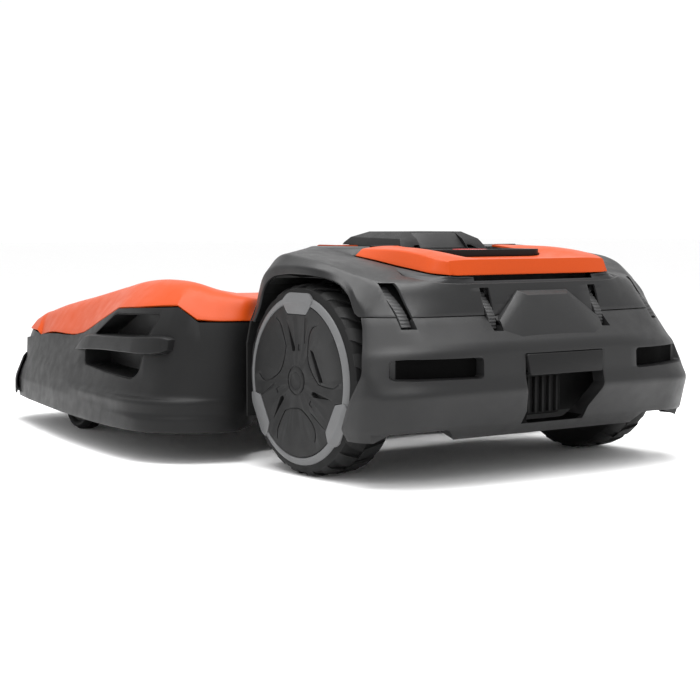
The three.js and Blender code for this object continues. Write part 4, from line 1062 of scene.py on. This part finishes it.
HOOD_ROWS = [
    [(1134, 0, 217), (1133, 150, 217), (1129, 252, 218), (1119, 352, 219), (1108, 394, 223.5)],
    [(1126, 0, 238), (1125, 150, 238), (1121, 252, 241), (1110, 372, 250), (1095, 404, 223)],
    [(1081, 0, 255), (1081, 160, 255), (1080, 262, 259), (1070, 378, 264), (1036, 416, 221.5)],
    [(1064, 0, 258), (1064, 160, 258), (1063, 262, 262), (1054, 381, 267), (1018, 415.5, 211.5)],
    [(960, 0, 277), (960, 160, 277), (960, 275, 282), (960, 390, 286), (930, 436, 224)],
    [(790, 0, 304), (790, 160, 305), (790, 290, 310), (790, 402, 312), (700, 471, 237)],
    [(650, 0, 311), (650, 160, 314), (650, 300, 332), (640, 408, 338), (600, 484, 267)],
    [(540, 0, 310), (540, 160, 314), (535, 305, 340), (521, 420, 356), (500, 494, 299)],
    [(450, 0, 308), (450, 160, 311), (448, 305, 333), (433, 420, 363), (400, 498, 305)],
    [(400, 0, 307), (400, 160, 309), (395, 300, 328), (345, 415, 357), (303, 471, 311.5)],
    [(370, 0, 306), (370, 160, 307), (358, 290, 321), (295, 398, 343), (265, 449, 284)],
    [(352, 0, 305), (352, 160, 306), (340, 270, 315), (262, 372, 333), (236, 414, 281)],
    [(338, 0, 305), (338, 200, 306), (326, 250, 311), (250, 345, 327), (225, 374, 280)],
    [(324, 0, 303), (324, 200, 304), (314, 240, 308), (290, 275, 319), (233, 338, 278)],
    [(323, 0, 273), (323, 200, 273), (317, 240, 273), (297, 285, 276), (262, 313, 277.5)]]


def deck_hood():
    edge_marks, mid_marks = {1, 2, 3, 7, 9, 10, 13}, {1, 13}
    marks = [edge_marks] + [mid_marks] * 7 + [edge_marks]
    dense = [run(column, 6, False, corners) for column, corners in zip(mirrored_columns(HOOD_ROWS), marks)]
    grid = rounded_stack(dense, [0, 42, 60, 60, 60, 60, 60, 42, 0], steps=7, fills=3)
    hood = walled("deck_hood_skin", grid, 3.8, False, ORANGE, side=underside(grid))
    soften(hood, 2.6, 3, 30)
    attach(hood, "cutting_deck", "orange_cover", "deck_hood")


def nose_strip():
    rows = [[(1152, 0, 199), (1151, 100, 199), (1145, 225, 199), (1134, 350, 199), (1108, 400, 202),
             (1082, 409, 204), (1024, 418, 208)],
            [(1128, 0, 216.6), (1127, 150, 216.6), (1122, 252, 219), (1113, 351, 221), (1103, 393, 222),
             (1086, 403, 221), (1026, 415, 214)]]
    dense = [open_row(half, 5) for half in rows]
    strip = walled("nose_strip", rounded_stack(dense, [0, 0]), 2.8, False, LEDGE)
    attach(strip, "cutting_deck", "soft_black", "nose_bumper")


GRIP_STATIONS = [
    (295, (484, 222), (480, 244), (497, 243), (501, 224)),
    (303, (492, 214), (486, 248), (508, 247), (513, 218)),
    (322, (501, 211), (495, 250), (515, 247), (521, 215)),
    (360, (508, 210), (502, 249), (521, 245), (527, 213)),
    (386, (511, 210), (505, 248), (523, 243.5), (530, 213)),
    (396, (490, 209), (488, 247), (523, 243.5), (530, 213)),
    (520, (486, 207), (484, 243), (515, 239), (521, 211)),
    (596, (480, 205), (478, 240), (507, 236), (514, 208)),
    (606, (492, 204), (486, 240), (506, 236), (513, 207)),
    (642, (490, 203), (484, 236), (501, 231), (509, 205)),
    (676, (486, 202), (480, 222), (492, 219), (502, 203)),
    (702, (482, 201.5), (479, 207), (485, 206), (492, 201))]


def deck_handles():
    cup = swept("left_grip_cup", pocket_outline(0.6), "y", 435, 530, CASING)
    outside = [closed_row(half)[0] for half in (DECK_EDGE, DECK_MIDDLE, DECK_LOWER)]
    envelope = stacked("room", [outside[0] * [1, 1, 0] + [0, 0, 420]] + outside, DARK)
    carve(cup, swept("room", pocket_outline(4.2), "y", 439, 560))
    carve(cup, envelope, operation="INTERSECT")
    soften(cup, 1.0)
    bar = stacked("left_grip_bar", [[(x, y, z) for y, z in section] for x, *section in GRIP_STATIONS], SOFT)
    soften(bar, 4.5, 4, 28)
    for obj in (cup, bar):
        attach_sides(obj, "cutting_deck", "soft_black", "{}_deck_handle")


# ---- casters
def casters():
    profile = [(6.6, 344), (20, 344), (22, 348), (46, 350), (50, 345), (56, 343), (61, 345.5), (64.2, 351),
               (65, 358), (65, 374), (64.2, 381), (61, 386.5), (56, 389), (50, 387), (46, 382), (22, 384),
               (20, 388), (6.6, 388)]
    hub = (897, 65)
    wheel = revolved("left_caster_tyre", profile, "y", hub, TYRE, 72, 34)
    grooves = []
    for y in (359, 366, 373):
        section = [(62.8, y - 1.2), (70, y - 1.2), (70, y + 1.2), (62.8, y + 1.2)]
        grooves.append(revolved("groove", section, "y", hub, DARK, 72))
    carve(wheel, *grooves)
    shade(wheel, 34)
    attach_sides(wheel, "{}_caster_roller", "tyre_rubber", "{}_caster_wheel")


def main():
    camera()
    studio()
    dress_cad_nodes()
    upper_body()
    nose_cover()
    hatch_ledge()
    rear_bumper()
    arch_liners()
    charging_block()
    straps()
    hatch()
    console()
    wheels()
    deck_skirt()
    deck_floor()
    deck_hood()
    nose_strip()
    nose_guard()
    deck_handles()
    casters()


def write_size():
    import json


main()
write_size()
